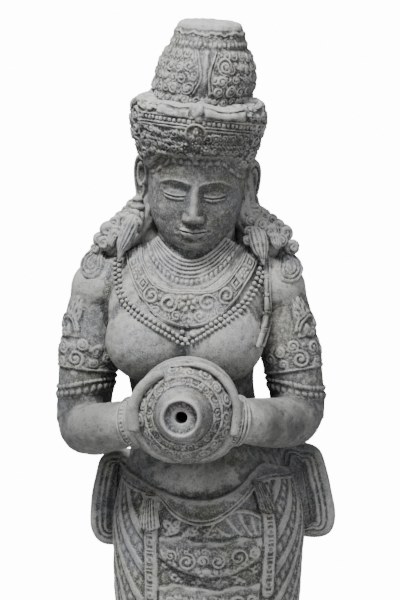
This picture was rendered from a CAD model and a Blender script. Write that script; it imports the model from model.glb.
import math

import bpy
import mathutils
import numpy as np
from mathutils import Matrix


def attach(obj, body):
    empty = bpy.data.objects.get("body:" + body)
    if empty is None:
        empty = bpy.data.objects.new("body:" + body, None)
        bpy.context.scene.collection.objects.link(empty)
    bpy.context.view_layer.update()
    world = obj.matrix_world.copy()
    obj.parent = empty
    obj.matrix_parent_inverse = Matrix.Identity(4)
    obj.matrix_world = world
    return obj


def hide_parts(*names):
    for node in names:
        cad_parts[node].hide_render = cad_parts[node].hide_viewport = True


# The goddess is drawn in millimetres in the frame's axes: x to the right, y backwards, z up.
# Every carved piece is a grid of points whose height over its plain form comes from a Carving.

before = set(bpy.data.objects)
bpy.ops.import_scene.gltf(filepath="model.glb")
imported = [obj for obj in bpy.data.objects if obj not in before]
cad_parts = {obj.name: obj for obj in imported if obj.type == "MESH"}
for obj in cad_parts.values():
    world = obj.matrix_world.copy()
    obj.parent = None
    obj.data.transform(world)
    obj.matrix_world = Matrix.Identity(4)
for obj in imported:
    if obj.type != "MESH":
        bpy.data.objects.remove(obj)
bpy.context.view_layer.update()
print("frame loaded")

tau = math.tau


# Plain helpers on arrays

def smoothRead(stations, at):
    # reads rows of (place, values...) at some places on a smooth curve through the rows
    rows = np.array(stations, float)
    places, values = rows[:, 0], rows[:, 1:]
    slopes = np.gradient(values, places, axis=0)
    at = np.clip(np.asarray(at, float), places[0], places[-1])
    index = np.clip(np.searchsorted(places, at, side="right") - 1, 0, len(places) - 2)
    span = (places[index + 1] - places[index])[..., None]
    t = (at[..., None] - places[index][..., None]) / span
    a, b = values[index], values[index + 1]
    return (
        (2 * t**3 - 3 * t**2 + 1) * a + (t**3 - 2 * t**2 + t) * span * slopes[index]
        + (3 * t**2 - 2 * t**3) * b + (t**3 - t**2) * span * slopes[index + 1]
    )


def bell(distance, width):
    # soft bump: 1 in the middle, near 0 from a width away
    return np.exp(-2.2 * (distance / width) ** 2)


def dome(share, power=2):
    # rounded top: root of 1 - |share|^power, and 0 from share 1 on
    return np.sqrt(np.clip(1 - np.abs(share) ** power, 0, 1))


def spot(u, v):
    # a smooth bump over two directions
    return bell(np.hypot(u, v), 1.0)


def ridge(distance, width):
    # half-round ridge of that full width: root of 1 - (2d/w)^2
    return dome(2 * distance / width)


def ramp(value, start, end):
    # smooth step from 0 at start to 1 at end
    t = np.clip((value - start) / (end - start), 0, 1)
    return t * t * (3 - 2 * t)


def waves(points, amount, longest, shortest, seed, count=20):
    # sum of sine waves in random directions and lengths, as a mason's uneven surface
    pick = np.random.default_rng(seed)
    total = np.zeros(points.shape[:-1])
    for _ in range(count):
        way = pick.normal(size=3)
        way /= np.linalg.norm(way)
        length = shortest * (longest / shortest) ** pick.random()
        total += np.sin(points @ way * (tau / length) + tau * pick.random()) * (length / longest) ** 0.5
    return total * amount / math.sqrt(count / 2)


def turnAbout(axis, degrees):
    # 3x3 turn about one of the frame's axes
    c, s = math.cos(math.radians(degrees)), math.sin(math.radians(degrees))
    i, j = {"x": (1, 2), "y": (2, 0), "z": (0, 1)}[axis]
    m = np.eye(3)
    m[i, i] = m[j, j] = c
    m[i, j], m[j, i] = -s, s
    return m


headPlace = {"at": (4, -14, 1248), "yaw": 4.0, "roll": 3.5, "pitch": 10.0}
headTurn = (turnAbout("z", headPlace["yaw"]) @ turnAbout("y", headPlace["roll"])
            @ turnAbout("x", headPlace["pitch"]))
jugAt = np.array((1.0, -140.0, 911.0))
chestCentre = -10.0


def onHead(points):
    # points drawn on the upright head, turned and carried to its place
    return points @ headTurn.T + np.array(headPlace["at"])


# Carving: heights in mm over two surface coordinates, also in mm

class Carving:
    # s runs along or around the piece and t across or up it; around is the length that s closes on
    def __init__(self, s, t, around=None):
        self.s, self.t, self.around = s, t, around
        self.h = np.zeros_like(s)

    def near(self, s0, t0, reach):
        # the points within reach of a place, and how far off they are
        ds = self.s - s0
        if self.around:
            ds = (ds + self.around / 2) % self.around - self.around / 2
        dt = self.t - t0
        pick = (np.abs(ds) < reach) & (np.abs(dt) < reach)
        return pick, ds[pick], dt[pick]

    def put(self, pick, value):
        # a form near one place shows where it stands higher than what is there
        self.h[pick] = np.maximum(self.h[pick], value)

    def over(self, value):
        # the same for a form drawn over the whole piece
        self.h = np.maximum(self.h, value)

    def spiral(self, s0, t0, radius, height, hand=1, turn=0.0, turns=1.5):
        # a ridge on an Archimedean spiral, fading at its rim, with a button in the middle
        pick, ds, dt = self.near(s0, t0, radius)
        rho = np.hypot(ds, dt)
        phase = rho / radius * turns - (np.arctan2(dt, ds) * hand + turn) / tau
        off = np.abs(phase - np.floor(phase) - 0.5)
        coil = dome(off / 0.34) * ramp(radius - rho, 0, 0.12 * radius)
        button = dome(rho / (0.26 * radius))
        bed = 0.35 * ramp(radius - rho, 0, 0.15 * radius)
        self.put(pick, height * np.maximum(np.maximum(coil, button), bed))

    def rosette(self, s0, t0, radius, height, petals, turn=0.0):
        # petals are cosine lobes between a rim and a round button
        pick, ds, dt = self.near(s0, t0, radius)
        rho = np.hypot(ds, dt) / radius
        lobes = np.abs(np.cos(np.arctan2(dt, ds) * petals / 2 + turn)) ** 0.7
        petal = lobes * ridge(rho - 0.62, 0.66)
        button = dome(rho / 0.3) * 1.1
        bed = 0.3 * ramp(1 - rho, 0, 0.15)
        self.put(pick, height * np.maximum(np.maximum(petal, button), bed))

    def leaf(self, s0, t0, length, width, degrees, height, curl=0.0):
        # a pointed leaf from its root: side height falls to its edge, with a cut midrib and slanted veins
        pick, ds, dt = self.near(s0, t0, length)
        c, s = math.cos(math.radians(degrees)), math.sin(math.radians(degrees))
        along = (ds * c + dt * s) / length
        across = (-ds * s + dt * c) - curl * length * along**2
        half = np.clip(np.sin(np.pi * np.clip(along, 0, 1) ** 0.75), 0, 1) * width / 2 + 1e-6
        body = dome(across / half) * (along > 0) * (along < 1)
        rib = 0.45 * bell(across, 0.13 * width) * (body > 0)
        veins = 0.16 * (1 + np.sin((along * 3.2 - np.abs(across) / width * 1.2) * tau))
        self.put(pick, height * body * (1 - rib - veins * (body > 0)))

    def ball(self, s0, t0, radius, height, squash=1.0):
        # a half ball, longer or shorter in t by squash
        pick, ds, dt = self.near(s0, t0, radius * max(1, squash))
        self.put(pick, height * np.sqrt(np.clip(1 - (ds**2 + (dt / squash) ** 2) / radius**2, 0, 1)))

    def beads(self, line, step, radius, height, power=2.0):
        # a row of half balls along t = line, evenly spaced round the piece; a higher power squares them
        step = self.around / round(self.around / step)
        ds = self.s % step - step / 2
        dt = self.t - line
        rounded = np.clip(1 - np.abs(ds / radius) ** power - np.abs(dt / radius) ** power, 0, 1)
        self.over(height * np.sqrt(rounded))

    def band(self, line, width, height):
        # a half-round ridge along t = line
        self.over(height * ridge(self.t - line, width))

    def shelf(self, low, high, height, ease=1.2):
        # a flat raised strip between two lines, with eased edges
        self.over(height * ramp(self.t, low - ease, low) * ramp(-self.t, -high - ease, -high))

    def foliage(self, low, high, size, height, seed, start, end, keep=None):
        # rows of paired spirals with leaves between them, on a jittered grid
        pick = np.random.default_rng(seed)
        rows = max(1, round((high - low) / (1.05 * size)))
        deep = (high - low) / rows
        count = max(1, round((end - start) / (1.12 * size)))
        wide = (end - start) / count
        for row in range(rows):
            for column in range(count):
                s0 = start + wide * (column + 0.5 + 0.5 * (row % 2) + pick.uniform(-0.14, 0.14))
                t0 = low + deep * (row + 0.5 + pick.uniform(-0.12, 0.12))
                hand = 1 if (row + column) % 2 else -1
                if keep is not None and not keep(s0, t0):
                    continue
                radius = size * pick.uniform(0.43, 0.56)
                way = pick.uniform(0, 360)
                if pick.random() < 0.74:
                    self.spiral(s0, t0, radius, height * pick.uniform(0.85, 1.1), hand, math.radians(way),
                                pick.uniform(1.2, 1.7))
                else:
                    for spread in (-38, 0, 38):
                        self.leaf(s0, t0 - 0.35 * size, 0.95 * size, 0.42 * size, 90 + spread, height)
                self.leaf(s0 + 0.5 * wide, t0 + pick.uniform(-0.3, 0.3) * size, 0.62 * size, 0.34 * size,
                          way, 0.85 * height, 0.25 * hand)
                self.ball(s0 - 0.5 * wide, t0 + pick.uniform(-0.4, 0.4) * deep, 0.15 * size, 0.8 * height)


def soften(heights, times=1, around=False):
    # averages a grid with its neighbours; the first direction may close on itself
    for _ in range(times):
        up, down = np.roll(heights, 1, 0), np.roll(heights, -1, 0)
        if not around:
            up[0], down[-1] = heights[0], heights[-1]
        left = np.concatenate([heights[:, :1], heights[:, :-1]], 1)
        right = np.concatenate([heights[:, 1:], heights[:, -1:]], 1)
        heights = 0.4 * heights + 0.15 * (up + down + left + right)
    return heights


# Grids to meshes

def gridFaces(rows, columns, closeRows=False, closeColumns=False):
    # quads of a grid, each written anticlockwise for a surface that faces rows x columns
    i = np.arange(rows if closeRows else rows - 1)
    j = np.arange(columns if closeColumns else columns - 1)
    i, j = np.meshgrid(i, j, indexing="ij")
    i2, j2 = (i + 1) % rows, (j + 1) % columns
    return np.stack([i * columns + j, i2 * columns + j, i2 * columns + j2, i * columns + j2], -1).reshape(-1, 4)


def fan(ring, centre):
    # triangles from a ring of point numbers to one point
    after = np.roll(ring, -1)
    return np.stack([ring, after, np.full_like(ring, centre)], -1)


def tubeShell(rings):
    # closed form from rings (count, around, 3): quads between them and a fan on each end
    count, around = rings.shape[:2]
    points = np.concatenate([rings.reshape(-1, 3), rings[0].mean(0)[None], rings[-1].mean(0)[None]])
    quads = gridFaces(count, around, closeColumns=True)
    first = fan(np.arange(around), count * around)
    last = fan(np.arange(around)[::-1] + (count - 1) * around, count * around + 1)
    return points, quads, np.concatenate([first, last])


def slabShell(front, back):
    # closed slab from a front grid and a single point behind each border point
    rows, columns = front.shape[:2]
    index = np.arange(rows * columns).reshape(rows, columns)
    border = np.concatenate([index[0, :-1], index[:-1, -1], index[-1, :0:-1], index[:0:-1, 0]])
    behind = back.reshape(-1, 3)[border]
    points = np.concatenate([front.reshape(-1, 3), behind, behind.mean(0)[None]])
    ring = np.arange(len(border)) + rows * columns
    side = np.stack([border, ring, np.roll(ring, -1), np.roll(border, -1)], -1)
    return points, np.concatenate([gridFaces(rows, columns), side]), fan(ring, len(points) - 1)


def outward(points, quads, tris):
    # turns every face over when the enclosed volume comes out negative
    all3 = np.concatenate([quads[:, [0, 1, 2]], quads[:, [0, 2, 3]], tris]) if len(quads) else tris
    a, b, c = points[all3[:, 0]], points[all3[:, 1]], points[all3[:, 2]]
    if np.einsum("ij,ij->i", a - points.mean(0), np.cross(b - a, c - a)).sum() < 0:
        quads, tris = quads[:, ::-1], tris[:, ::-1]
    return quads, tris


def joined(shells):
    # several closed shells as one set of points, quads and triangles
    points, quads, tris, base = [], [], [], 0
    for p, q, t in shells:
        q, t = outward(p, q, t)
        points.append(p)
        quads.append(q + base)
        tris.append(t + base)
        base += len(p)
    return np.concatenate(points), np.concatenate(quads), np.concatenate(tris)


def makeMesh(name, shell):
    # a smoothly shaded mesh in metres from points in mm, quads and triangles
    points, quads, tris = shell
    mesh = bpy.data.meshes.new(name)
    mesh.vertices.add(len(points))
    mesh.vertices.foreach_set("co", (points * 0.001).astype(np.float32).ravel())
    corners = np.concatenate([quads.ravel(), tris.ravel()]).astype(np.int32)
    starts = np.concatenate([np.arange(len(quads)) * 4, len(quads) * 4 + np.arange(len(tris)) * 3])
    mesh.loops.add(len(corners))
    mesh.loops.foreach_set("vertex_index", corners)
    mesh.polygons.add(len(starts))
    mesh.polygons.foreach_set("loop_start", starts.astype(np.int32))
    mesh.polygons.foreach_set("use_smooth", np.ones(len(starts), bool))
    mesh.update(calc_edges=True)
    mesh.validate()
    return mesh


def readAll(items, key, width, kind=np.float32):
    # one value of every item of a mesh, as rows of that width
    found = np.empty(len(items) * width, kind)
    items.foreach_get(key, found)
    return found.reshape(-1, width)


def coordinates(mesh):
    # the mesh's points in mm
    return readAll(mesh.vertices, "co", 3).astype(float) * 1000


def normalsOf(mesh):
    # the way out of the surface at each point
    return readAll(mesh.vertex_normals, "vector", 3).astype(float)


def pushed(mesh, amounts):
    # moves the mesh's points along their normals by some mm
    points = coordinates(mesh) + normalsOf(mesh) * amounts[:, None]
    mesh.vertices.foreach_set("co", (points * 0.001).astype(np.float32).ravel())
    mesh.update()


def relaxed(points, edges, times):
    # moves every point to the mean of itself and its neighbours, some times over
    count = np.bincount(edges.ravel(), minlength=len(points)).astype(float)[:, None] + 1
    a, b = edges[:, 0], edges[:, 1]
    for _ in range(times):
        total = points.copy()
        for k in range(points.shape[1]):
            total[:, k] += np.bincount(a, points[b, k], len(points)) + np.bincount(b, points[a, k], len(points))
        points = total / count
    return points


def wear(mesh, broad):
    # how far each point stands out of the evened surface (+) or lies in it (-), in mm, at two sizes
    points, normals = coordinates(mesh), normalsOf(mesh)
    edges = readAll(mesh.edges, "vertices", 2, np.int32)
    near = relaxed(points, edges, 5)
    far = relaxed(near, edges, broad)
    for name, evened in (("edgeWear", near), ("hollow", far)):
        layer = mesh.attributes.new(name, "FLOAT", "POINT")
        layer.data.foreach_set("value", np.einsum("ij,ij->i", points - evened, normals).astype(np.float32))


triangleCount = {}


def finish(name, mesh, broad=26):
    # one finished piece of the statue, at the origin, riding on the frame
    wear(mesh, broad)
    piece = bpy.data.objects.new(name, mesh)
    bpy.context.scene.collection.objects.link(piece)
    mesh.materials.append(stone)
    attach(piece, "root")
    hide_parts("statue")
    triangleCount[name] = len(mesh.loops) - 2 * len(mesh.polygons)
    print("made", name, triangleCount[name])


def finishShells(name, shells, *rough):
    # a finished piece from closed shells; each rough is an amount, two lengths and a seed for waves
    mesh = makeMesh(name, joined(shells))
    if rough:
        where = coordinates(mesh)
        pushed(mesh, sum(waves(where, *wave) for wave in rough))
    finish(name, mesh)


# Stone

class Sock:
    # wraps one socket so that sums on it add Math nodes
    def __init__(self, tree, socket):
        self.tree, self.socket = tree, socket

    def node(self, kind, settings=None, inputs=None, out=0):
        # a new node with these settings and inputs, read at one of its outputs
        made = self.tree.nodes.new(kind)
        for key, value in (settings or {}).items():
            setattr(made, key, value)
        for key, value in (inputs or {}).items():
            target = made.inputs[key]
            if isinstance(value, Sock):
                self.tree.links.new(value.socket, target)
            else:
                target.default_value = value
        return Sock(self.tree, made.outputs[out])

    def maths(self, operation, a, b):
        return self.node("ShaderNodeMath", {"operation": operation}, {0: a, 1: b})

    def __add__(self, other): return self.maths("ADD", self, other)
    def __radd__(self, other): return self.maths("ADD", other, self)
    def __sub__(self, other): return self.maths("SUBTRACT", self, other)
    def __rsub__(self, other): return self.maths("SUBTRACT", other, self)
    def __mul__(self, other): return self.maths("MULTIPLY", self, other)
    def __rmul__(self, other): return self.maths("MULTIPLY", other, self)

    def clamped(self, low, high):
        return self.node("ShaderNodeClamp", {}, {0: self, 1: low, 2: high})

    def between(self, low, high):
        # 0 below low, 1 above high
        return self.node("ShaderNodeMapRange", {"interpolation_type": "SMOOTHSTEP"},
                         {0: self, 1: low, 2: high, 3: 0.0, 4: 1.0})

    def blend(self, a, b):
        # mixes two colours by this value
        return self.node("ShaderNodeMix", {"data_type": "RGBA"}, {0: self, 6: a, 7: b}, 2)


stoneLook = {
    "dark": (0.034, 0.035, 0.033, 1), "mid": (0.120, 0.119, 0.114, 1), "pale": (0.41, 0.408, 0.388, 1),
    "blue": (0.118, 0.125, 0.139, 1), "green": (0.114, 0.117, 0.094, 1), "brown": (0.125, 0.109, 0.087, 1),
    "dust": (0.47, 0.463, 0.432, 1), "soil": (0.105, 0.100, 0.088, 1), "slate": (0.165, 0.178, 0.208, 1),
    "grain": 0.0018, "roughness": 0.80,
}


def makeStone():
    # one grey stone: its tone follows the wear attributes, what faces up or down, and noise of many sizes
    material = bpy.data.materials.new("greyStone")
    material.use_nodes = True
    tree = material.node_tree
    shader = tree.nodes["Principled BSDF"]
    start = Sock(tree, None)
    place = start.node("ShaderNodeTexCoord", out=3)

    def noise(scale, detail=4.0, roughness=0.55, shift=0.0):
        moved = start.node("ShaderNodeVectorMath", {"operation": "ADD"},
                           {0: place, 1: (shift, shift * 0.7, -shift)})
        return start.node("ShaderNodeTexNoise", {}, {"Vector": moved, "Scale": scale, "Detail": detail,
                                                     "Roughness": roughness})

    small = start.node("ShaderNodeAttribute", {"attribute_name": "edgeWear"}, out=2)
    large = start.node("ShaderNodeAttribute", {"attribute_name": "hollow"}, out=2)
    normal = start.node("ShaderNodeNewGeometry", out=1)
    facing = start.node("ShaderNodeSeparateXYZ", {}, {0: normal}, 2)
    height = start.node("ShaderNodeSeparateXYZ", {}, {0: place}, 2)
    depth = start.node("ShaderNodeSeparateXYZ", {}, {0: place}, 1)
    broad, patch, speck = noise(7.0, 5.0), noise(19.0, 6.0, 0.6, 3.1), noise(420.0, 3.0, 0.7, 1.3)
    grain = noise(1150.0, 2.0, 0.6, 5.0)
    tint = noise(11.0, 4.0, 0.5, 9.0)
    body = broad.between(0.32, 0.68).blend(stoneLook["mid"], stoneLook["blue"])
    body = tint.between(0.50, 0.66).blend(body, stoneLook["green"])
    body = noise(14.0, 5.0, 0.6, 17.0).between(0.56, 0.72).blend(body, stoneLook["brown"])
    # stone stands paler where it is rubbed or faces the sky, darker where it is hollow or faces down
    rubbed = (small * 1.8 + large * 0.32 + (patch - 0.5) * 0.7).clamped(-1.0, 1.0)
    body = (rubbed.between(0.0, 0.95) * 0.66).blend(body, stoneLook["pale"])
    body = ((0.0 - rubbed).between(0.08, 1.0) * 0.80).blend(body, stoneLook["dark"])
    dust = facing.between(0.15, 0.98) * (patch.between(0.34, 0.68) * 0.36)
    body = dust.blend(body, stoneLook["dust"])
    # smooth raised places, most of all the breasts, show the bluish stone under the dust
    breast = (height.between(0.97, 1.01) * (2.0 - height).between(0.91, 0.95)
              * (0.0 - depth).between(0.08, 0.12))
    bare = (noise(9.0, 3.0, 0.4, 71.0) + breast * 0.12).between(0.54, 0.64) * (0.6 - small).between(0.0, 0.4)
    body = (bare * 0.42).blend(body, stoneLook["slate"])
    under = (0.0 - facing).between(0.0, 0.85) * 0.52
    body = under.blend(body, stoneLook["dark"])
    body = (speck.between(0.52, 0.64) * 0.60).blend(body, stoneLook["pale"])
    body = ((1.0 - speck).between(0.53, 0.68) * 0.52).blend(body, stoneLook["dark"])
    mottle = noise(88.0, 4.0, 0.6, 41.0)
    body = (mottle.between(0.52, 0.68) * 0.34).blend(body, stoneLook["pale"])
    body = ((1.0 - mottle).between(0.52, 0.68) * 0.36).blend(body, stoneLook["dark"])
    # broad weathered stains, and a damp dark band across the forearms and the belly behind the jug
    stain = noise(9.0, 6.0, 0.65, 53.0).between(0.50, 0.66)
    damp = (1.0 - height).between(0.03, 0.09) * height.between(0.72, 0.87) * depth.between(-0.17, -0.13)
    body = (stain * 0.22).blend(body, stoneLook["dark"])
    body = (damp * (stain * 0.25 + 0.46)).blend(body, stoneLook["dark"])
    # the face is darker than what is round it
    veil = (height.between(1.165, 1.20) * (2.0 - height).between(0.66, 0.70)
            * (0.0 - depth).between(0.06, 0.09))
    body = (veil * 0.30).blend(body, stoneLook["dark"])
    # soil splashed up from the ground dulls the block and the hem
    soil = (0.17 - height).between(0.0, 0.14) * (stain * 0.25 + 0.50)
    body = soil.blend(body, stoneLook["soil"])
    pits = noise(230.0, 2.0, 0.5, 23.0).between(0.66, 0.74)
    body = (pits * 0.45).blend(body, stoneLook["dark"])
    tree.links.new(body.socket, shader.inputs["Base Color"])
    rough = (stoneLook["roughness"] + (patch - 0.5) * 0.22 - rubbed * 0.05).clamped(0.5, 1.0)
    tree.links.new(rough.socket, shader.inputs["Roughness"])
    bumps = speck * 0.55 + grain * 0.35 + noise(95.0, 4.0, 0.6, 11.0) * 1.1 - pits * 0.9
    relief = start.node("ShaderNodeBump", {},
                        {"Strength": 0.75, "Distance": stoneLook["grain"], "Height": bumps})
    tree.links.new(relief.socket, shader.inputs["Normal"])
    shader.inputs["Specular IOR Level"].default_value = 0.28
    return material


stone = makeStone()
print("stone made")


# Body: trunk, neck, arms and hands, fused into one skin

trunk = {
    # rows of z, centre x, half width, front depth, back depth
    "rows": (
        (700, 21, 134, 106, 100), (740, 21, 136, 108, 101), (790, 19, 127, 105, 96), (830, 15, 116, 98, 84),
        (885, 3, 99, 86, 77), (940, -6, 96, 80, 75), (1000, -9, 112, 80, 80), (1050, -10, 128, 80, 84),
        (1090, -10, 130, 74, 82), (1118, -9, 106, 66, 72), (1138, -6, 76, 62, 64),
    ),
    "cell": 3.8,
    "neck": ((-3, 8, 1080, 82, 66), (-1, 4, 1120, 70, 62), (2, -4, 1150, 60, 58), (4, -10, 1196, 60, 60)),
    "belly": ((14, -40, 802), (94, 76, 60)), "chest": ((-10, -22, 1058), (104, 68, 62)),
}
arms = {
    # rows of x, y, z, radius across, radius along the side axis; left is the viewer's left
    "left": (
        (-142, 4, 1096, 40, 42), (-158, 5, 1044, 43, 43), (-165, 6, 990, 45, 46), (-171, 7, 935, 44, 45),
        (-175, 0, 872, 41, 42), (-152, -50, 868, 40, 40), (-122, -98, 878, 38, 38), (-84, -134, 890, 34, 36),
        (-58, -148, 897, 30, 33),
    ),
    "right": (
        (120, 4, 1096, 40, 42), (137, 5, 1044, 42, 43), (147, 6, 990, 44, 45), (155, 7, 940, 43, 44),
        (159, 0, 886, 40, 41), (138, -50, 882, 39, 39), (110, -98, 888, 37, 38), (86, -134, 894, 33, 36),
        (60, -148, 899, 31, 34),
    ),
    "side": (0, 1, 0.35),
}


def squared(angles, power):
    # radius of a circle pressed towards a square: (|cos|^p + |sin|^p)^(-1/p)
    return (np.abs(np.cos(angles)) ** power + np.abs(np.sin(angles)) ** power) ** (-1 / power)


def ovalRing(row, z, angles):
    # level ring: half width and front or back depth on a slightly squared circle
    centre, half, front, back = row[..., 0], row[..., 1], row[..., 2], row[..., 3]
    c, s = np.cos(angles), np.sin(angles)
    square = squared(angles, 2.3)
    x = centre + half * c * square
    y = np.where(s < 0, front, back) * s * square
    return np.stack([x, y, np.broadcast_to(z, x.shape)], -1)


def loft(rows, levels):
    # level rings of the oval read from the rows
    angles = np.arange(160) * tau / 160
    return ovalRing(smoothRead(rows, levels)[:, None, :], levels[:, None], angles[None, :])


def tubeFrame(spine, steps, side):
    # centres, two cross axes and two radii at even steps along a smooth spine
    rows = np.array(spine, float)
    at = np.linspace(0, len(rows) - 1, (len(rows) - 1) * steps + 1)
    curve = smoothRead(np.column_stack([np.arange(len(rows)), rows]), at)
    tangent = np.gradient(curve[:, :3], axis=0)
    tangent /= np.linalg.norm(tangent, axis=1)[:, None]
    across = np.cross(tangent, np.array(side, float))
    across /= np.linalg.norm(across, axis=1)[:, None]
    return curve[:, :3], across, np.cross(across, tangent), curve[:, 3], curve[:, 4], at


def tube(spine, side=(0, 0, 1), steps=8, around=28):
    # rings along the spine: centre + across * wide * cos + up * high * sin
    centre, across, up, wide, high, _ = tubeFrame(spine, steps, side)
    angles = np.arange(around) * tau / around
    return (centre[:, None] + across[:, None] * (wide[:, None] * np.cos(angles))[..., None]
            + up[:, None] * (high[:, None] * np.sin(angles))[..., None])


def ballRings(centre, radii, turn=np.eye(3), around=40, levels=24):
    # level rings of a ball from pole to pole, scaled by three radii, turned and moved
    polar = np.linspace(0, np.pi, levels + 2)[1:-1][:, None]
    angles = (np.arange(around) * tau / around)[None, :]
    unit = np.stack([np.sin(polar) * np.cos(angles), np.sin(polar) * np.sin(angles),
                     -np.cos(polar) * np.ones_like(angles)], -1)
    return unit * np.array(radii) @ turn.T + np.array(centre)


def handRings(side):
    # four fingers and a thumb laid round the jug's ball, and a palm behind them
    reachOut, made = 79.0, []
    for finger, (start, end) in enumerate(((166, 259), (168, 260), (170, 260), (172, 252))):
        y = -30 + finger * 18
        reach = math.sqrt(max(reachOut**2 - (y / 0.96) ** 2, 0)) + 3.5
        spine = []
        for angle in np.linspace(start, end, 8):
            a, tip = math.radians(angle), (angle - start) / (end - start)
            bend = 0.8 * math.sin(tip * 3 * math.pi) - 4.0 * tip**3
            thin = 1 - 0.62 * tip**1.5
            spine.append((-side * (reach + bend) * math.cos(a), y + 8 * tip, (reach + bend) * math.sin(a),
                          9.0 * thin, 11.0 * thin))
        made.append(tube(spine, (0, 1, 0)) + jugAt)
    # the thumb lies round the ball's upper side; the further one shows as a long thin point
    ends = (200, 174, 152, 133, 116) if side < 0 else (204, 172, 140, 108, 72)
    sizes = (9.5, 9.0, 8.4, 7.8, 6.2) if side < 0 else (8.0, 7.0, 6.0, 4.4, 1.8)
    thumb = []
    for step, (angle, size) in enumerate(zip(ends, sizes)):
        a = math.radians(angle)
        reach = reachOut - 0.5 - (3.0 if side < 0 else 1.8) * step
        ahead = 0.96 * math.sqrt((reachOut + 0.6 * size + 3) ** 2 - reach**2)
        thumb.append((-side * reach * math.cos(a), -ahead, reach * math.sin(a), size, size * 1.15))
    made.append(tube(thumb, (0, 1, 0)) + jugAt)
    made.append(ballRings(jugAt + np.array((side * 70, 8, -8)), (16, 40, 30)))
    return made


def bodyRings():
    # the closed forms of the body: trunk, belly, chest, breasts, shoulders, neck and arms
    rings = [loft(trunk["rows"], np.linspace(700, 1138, 70))]
    rings.append(ballRings(*trunk["belly"]))
    rings.append(ballRings(*trunk["chest"]))
    rings.append(ballRings((chestCentre, -44, 1034), (62, 54, 72)))
    for side in (-1, 1):
        rings.append(ballRings((chestCentre + side * 55, -62, 1008), (67, 61, 65)))
        rings.append(ballRings((chestCentre + side * 52, -42, 1052), (68, 56, 66)))
        rings.append(tube([(side * 20, 14, 1140, 40, 34), (chestCentre + side * 78, 12, 1116, 40, 34),
                           (chestCentre + side * 134, 6, 1088, 42, 42)]))
    rings.append(tube(trunk["neck"], (0, 1, 0), around=60))
    for name, shoulder in (("left", -148), ("right", 126)):
        rings.append(tube(arms[name], arms["side"], around=48))
        rings.append(ballRings((shoulder, 2, 1082), (47, 48, 46)))
    return rings


def fused(name, rings, cell, ease, times=6):
    # one skin over many closed forms: a fine grid remesh, then an even smoothing
    mesh = makeMesh(name, joined([tubeShell(r) for r in rings]))
    maker = bpy.data.objects.new(name, mesh)
    bpy.context.scene.collection.objects.link(maker)
    grid = maker.modifiers.new("grid", "REMESH")
    grid.mode, grid.voxel_size = "VOXEL", cell * 0.001
    even = maker.modifiers.new("even", "SMOOTH")
    even.factor, even.iterations = ease, times
    skin = bpy.data.meshes.new_from_object(maker.evaluated_get(bpy.context.evaluated_depsgraph_get()))
    bpy.data.objects.remove(maker)
    skin.name = name
    skin.polygons.foreach_set("use_smooth", np.ones(len(skin.polygons), bool))
    return skin


skinMesh = fused("body", bodyRings(), trunk["cell"], 0.6, 34)


class FrontDepth:
    # how far forward the skin stands at any x and z, kept on a 3 mm raster
    def __init__(self, mesh, low=(-225, 700), high=(225, 1260), cell=3.0):
        self.low, self.cell = np.array(low, float), cell
        corners = coordinates(mesh)
        middles = corners[readAll(mesh.edges, "vertices", 2, np.int32)].mean(1)
        points = np.concatenate([corners, middles, readAll(mesh.polygons, "center", 3) * 1000.0])
        shape = tuple(int((h - l) / cell) + 1 for l, h in zip(low, high))
        index = np.round((points[:, [0, 2]] - self.low) / cell).astype(int)
        inside = np.all((index >= 0) & (index < np.array(shape)), axis=1)
        raster = np.full(shape, 1e3)
        np.minimum.at(raster, (index[inside, 0], index[inside, 1]), points[inside, 1])
        # a cell that only caught the back takes the value of its nearest front neighbours
        near = np.min([np.roll(raster, (i, j), (0, 1)) for i in (-1, 0, 1) for j in (-1, 0, 1)], axis=0)
        raster = np.where(raster > near + 18, near, raster)
        for _ in range(60):
            gap = raster > 999
            if not gap.any():
                break
            total, count = np.zeros(shape), np.zeros(shape)
            for axis, step in ((0, 1), (0, -1), (1, 1), (1, -1)):
                other = np.roll(raster, step, axis)
                good = other < 999
                total += np.where(good, other, 0)
                count += good
            fill = gap & (count > 0)
            raster[fill] = total[fill] / count[fill]
        self.raster = soften(raster, 3)

    def read(self, x, z):
        # the depth there, between four raster cells
        u = np.clip((x - self.low[0]) / self.cell, 0, self.raster.shape[0] - 1.001)
        v = np.clip((z - self.low[1]) / self.cell, 0, self.raster.shape[1] - 1.001)
        i, j = u.astype(int), v.astype(int)
        u, v = u - i, v - j
        r = self.raster
        return (r[i, j] * (1 - u) * (1 - v) + r[i + 1, j] * u * (1 - v) + r[i, j + 1] * (1 - u) * v
                + r[i + 1, j + 1] * u * v)


skinDepth = FrontDepth(skinMesh)
where = coordinates(skinMesh)
pushed(skinMesh, waves(where, 0.45, 70, 14, 3) + waves(where, 0.16, 16, 6, 4))
finish("body", skinMesh)
handMesh = fused("hands", handRings(-1) + handRings(1), 2.5, 0.5, 5)
pushed(handMesh, waves(coordinates(handMesh), 0.35, 40, 9, 5))
finish("hands", handMesh)


# Face and skull

face = {
    # rows of z, half width, front depth
    "rows": ((-98, 20, 58), (-92, 36, 72), (-84, 48, 80), (-70, 59, 84), (-42, 70, 87), (-10, 74, 88),
             (20, 75, 90), (60, 73, 88)),
    "brow": 8.0, "eyes": -6.0, "eyeApart": 30.0, "mouth": -63.0, "chin": -87.0,
    # rows of z, how far the nose stands out, its half width
    "nose": ((-56, 0, 11), (-51, 1.5, 11.5), (-48, 9.0, 11.5), (-45, 16.5, 11.2), (-40, 20.5, 10.6),
             (-34, 20.0, 9.8), (-22, 15.5, 8.8), (-8, 10.4, 7.8), (4, 7.2, 8.2), (14, 3.6, 11.5),
             (24, 0.5, 14)),
}


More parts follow.
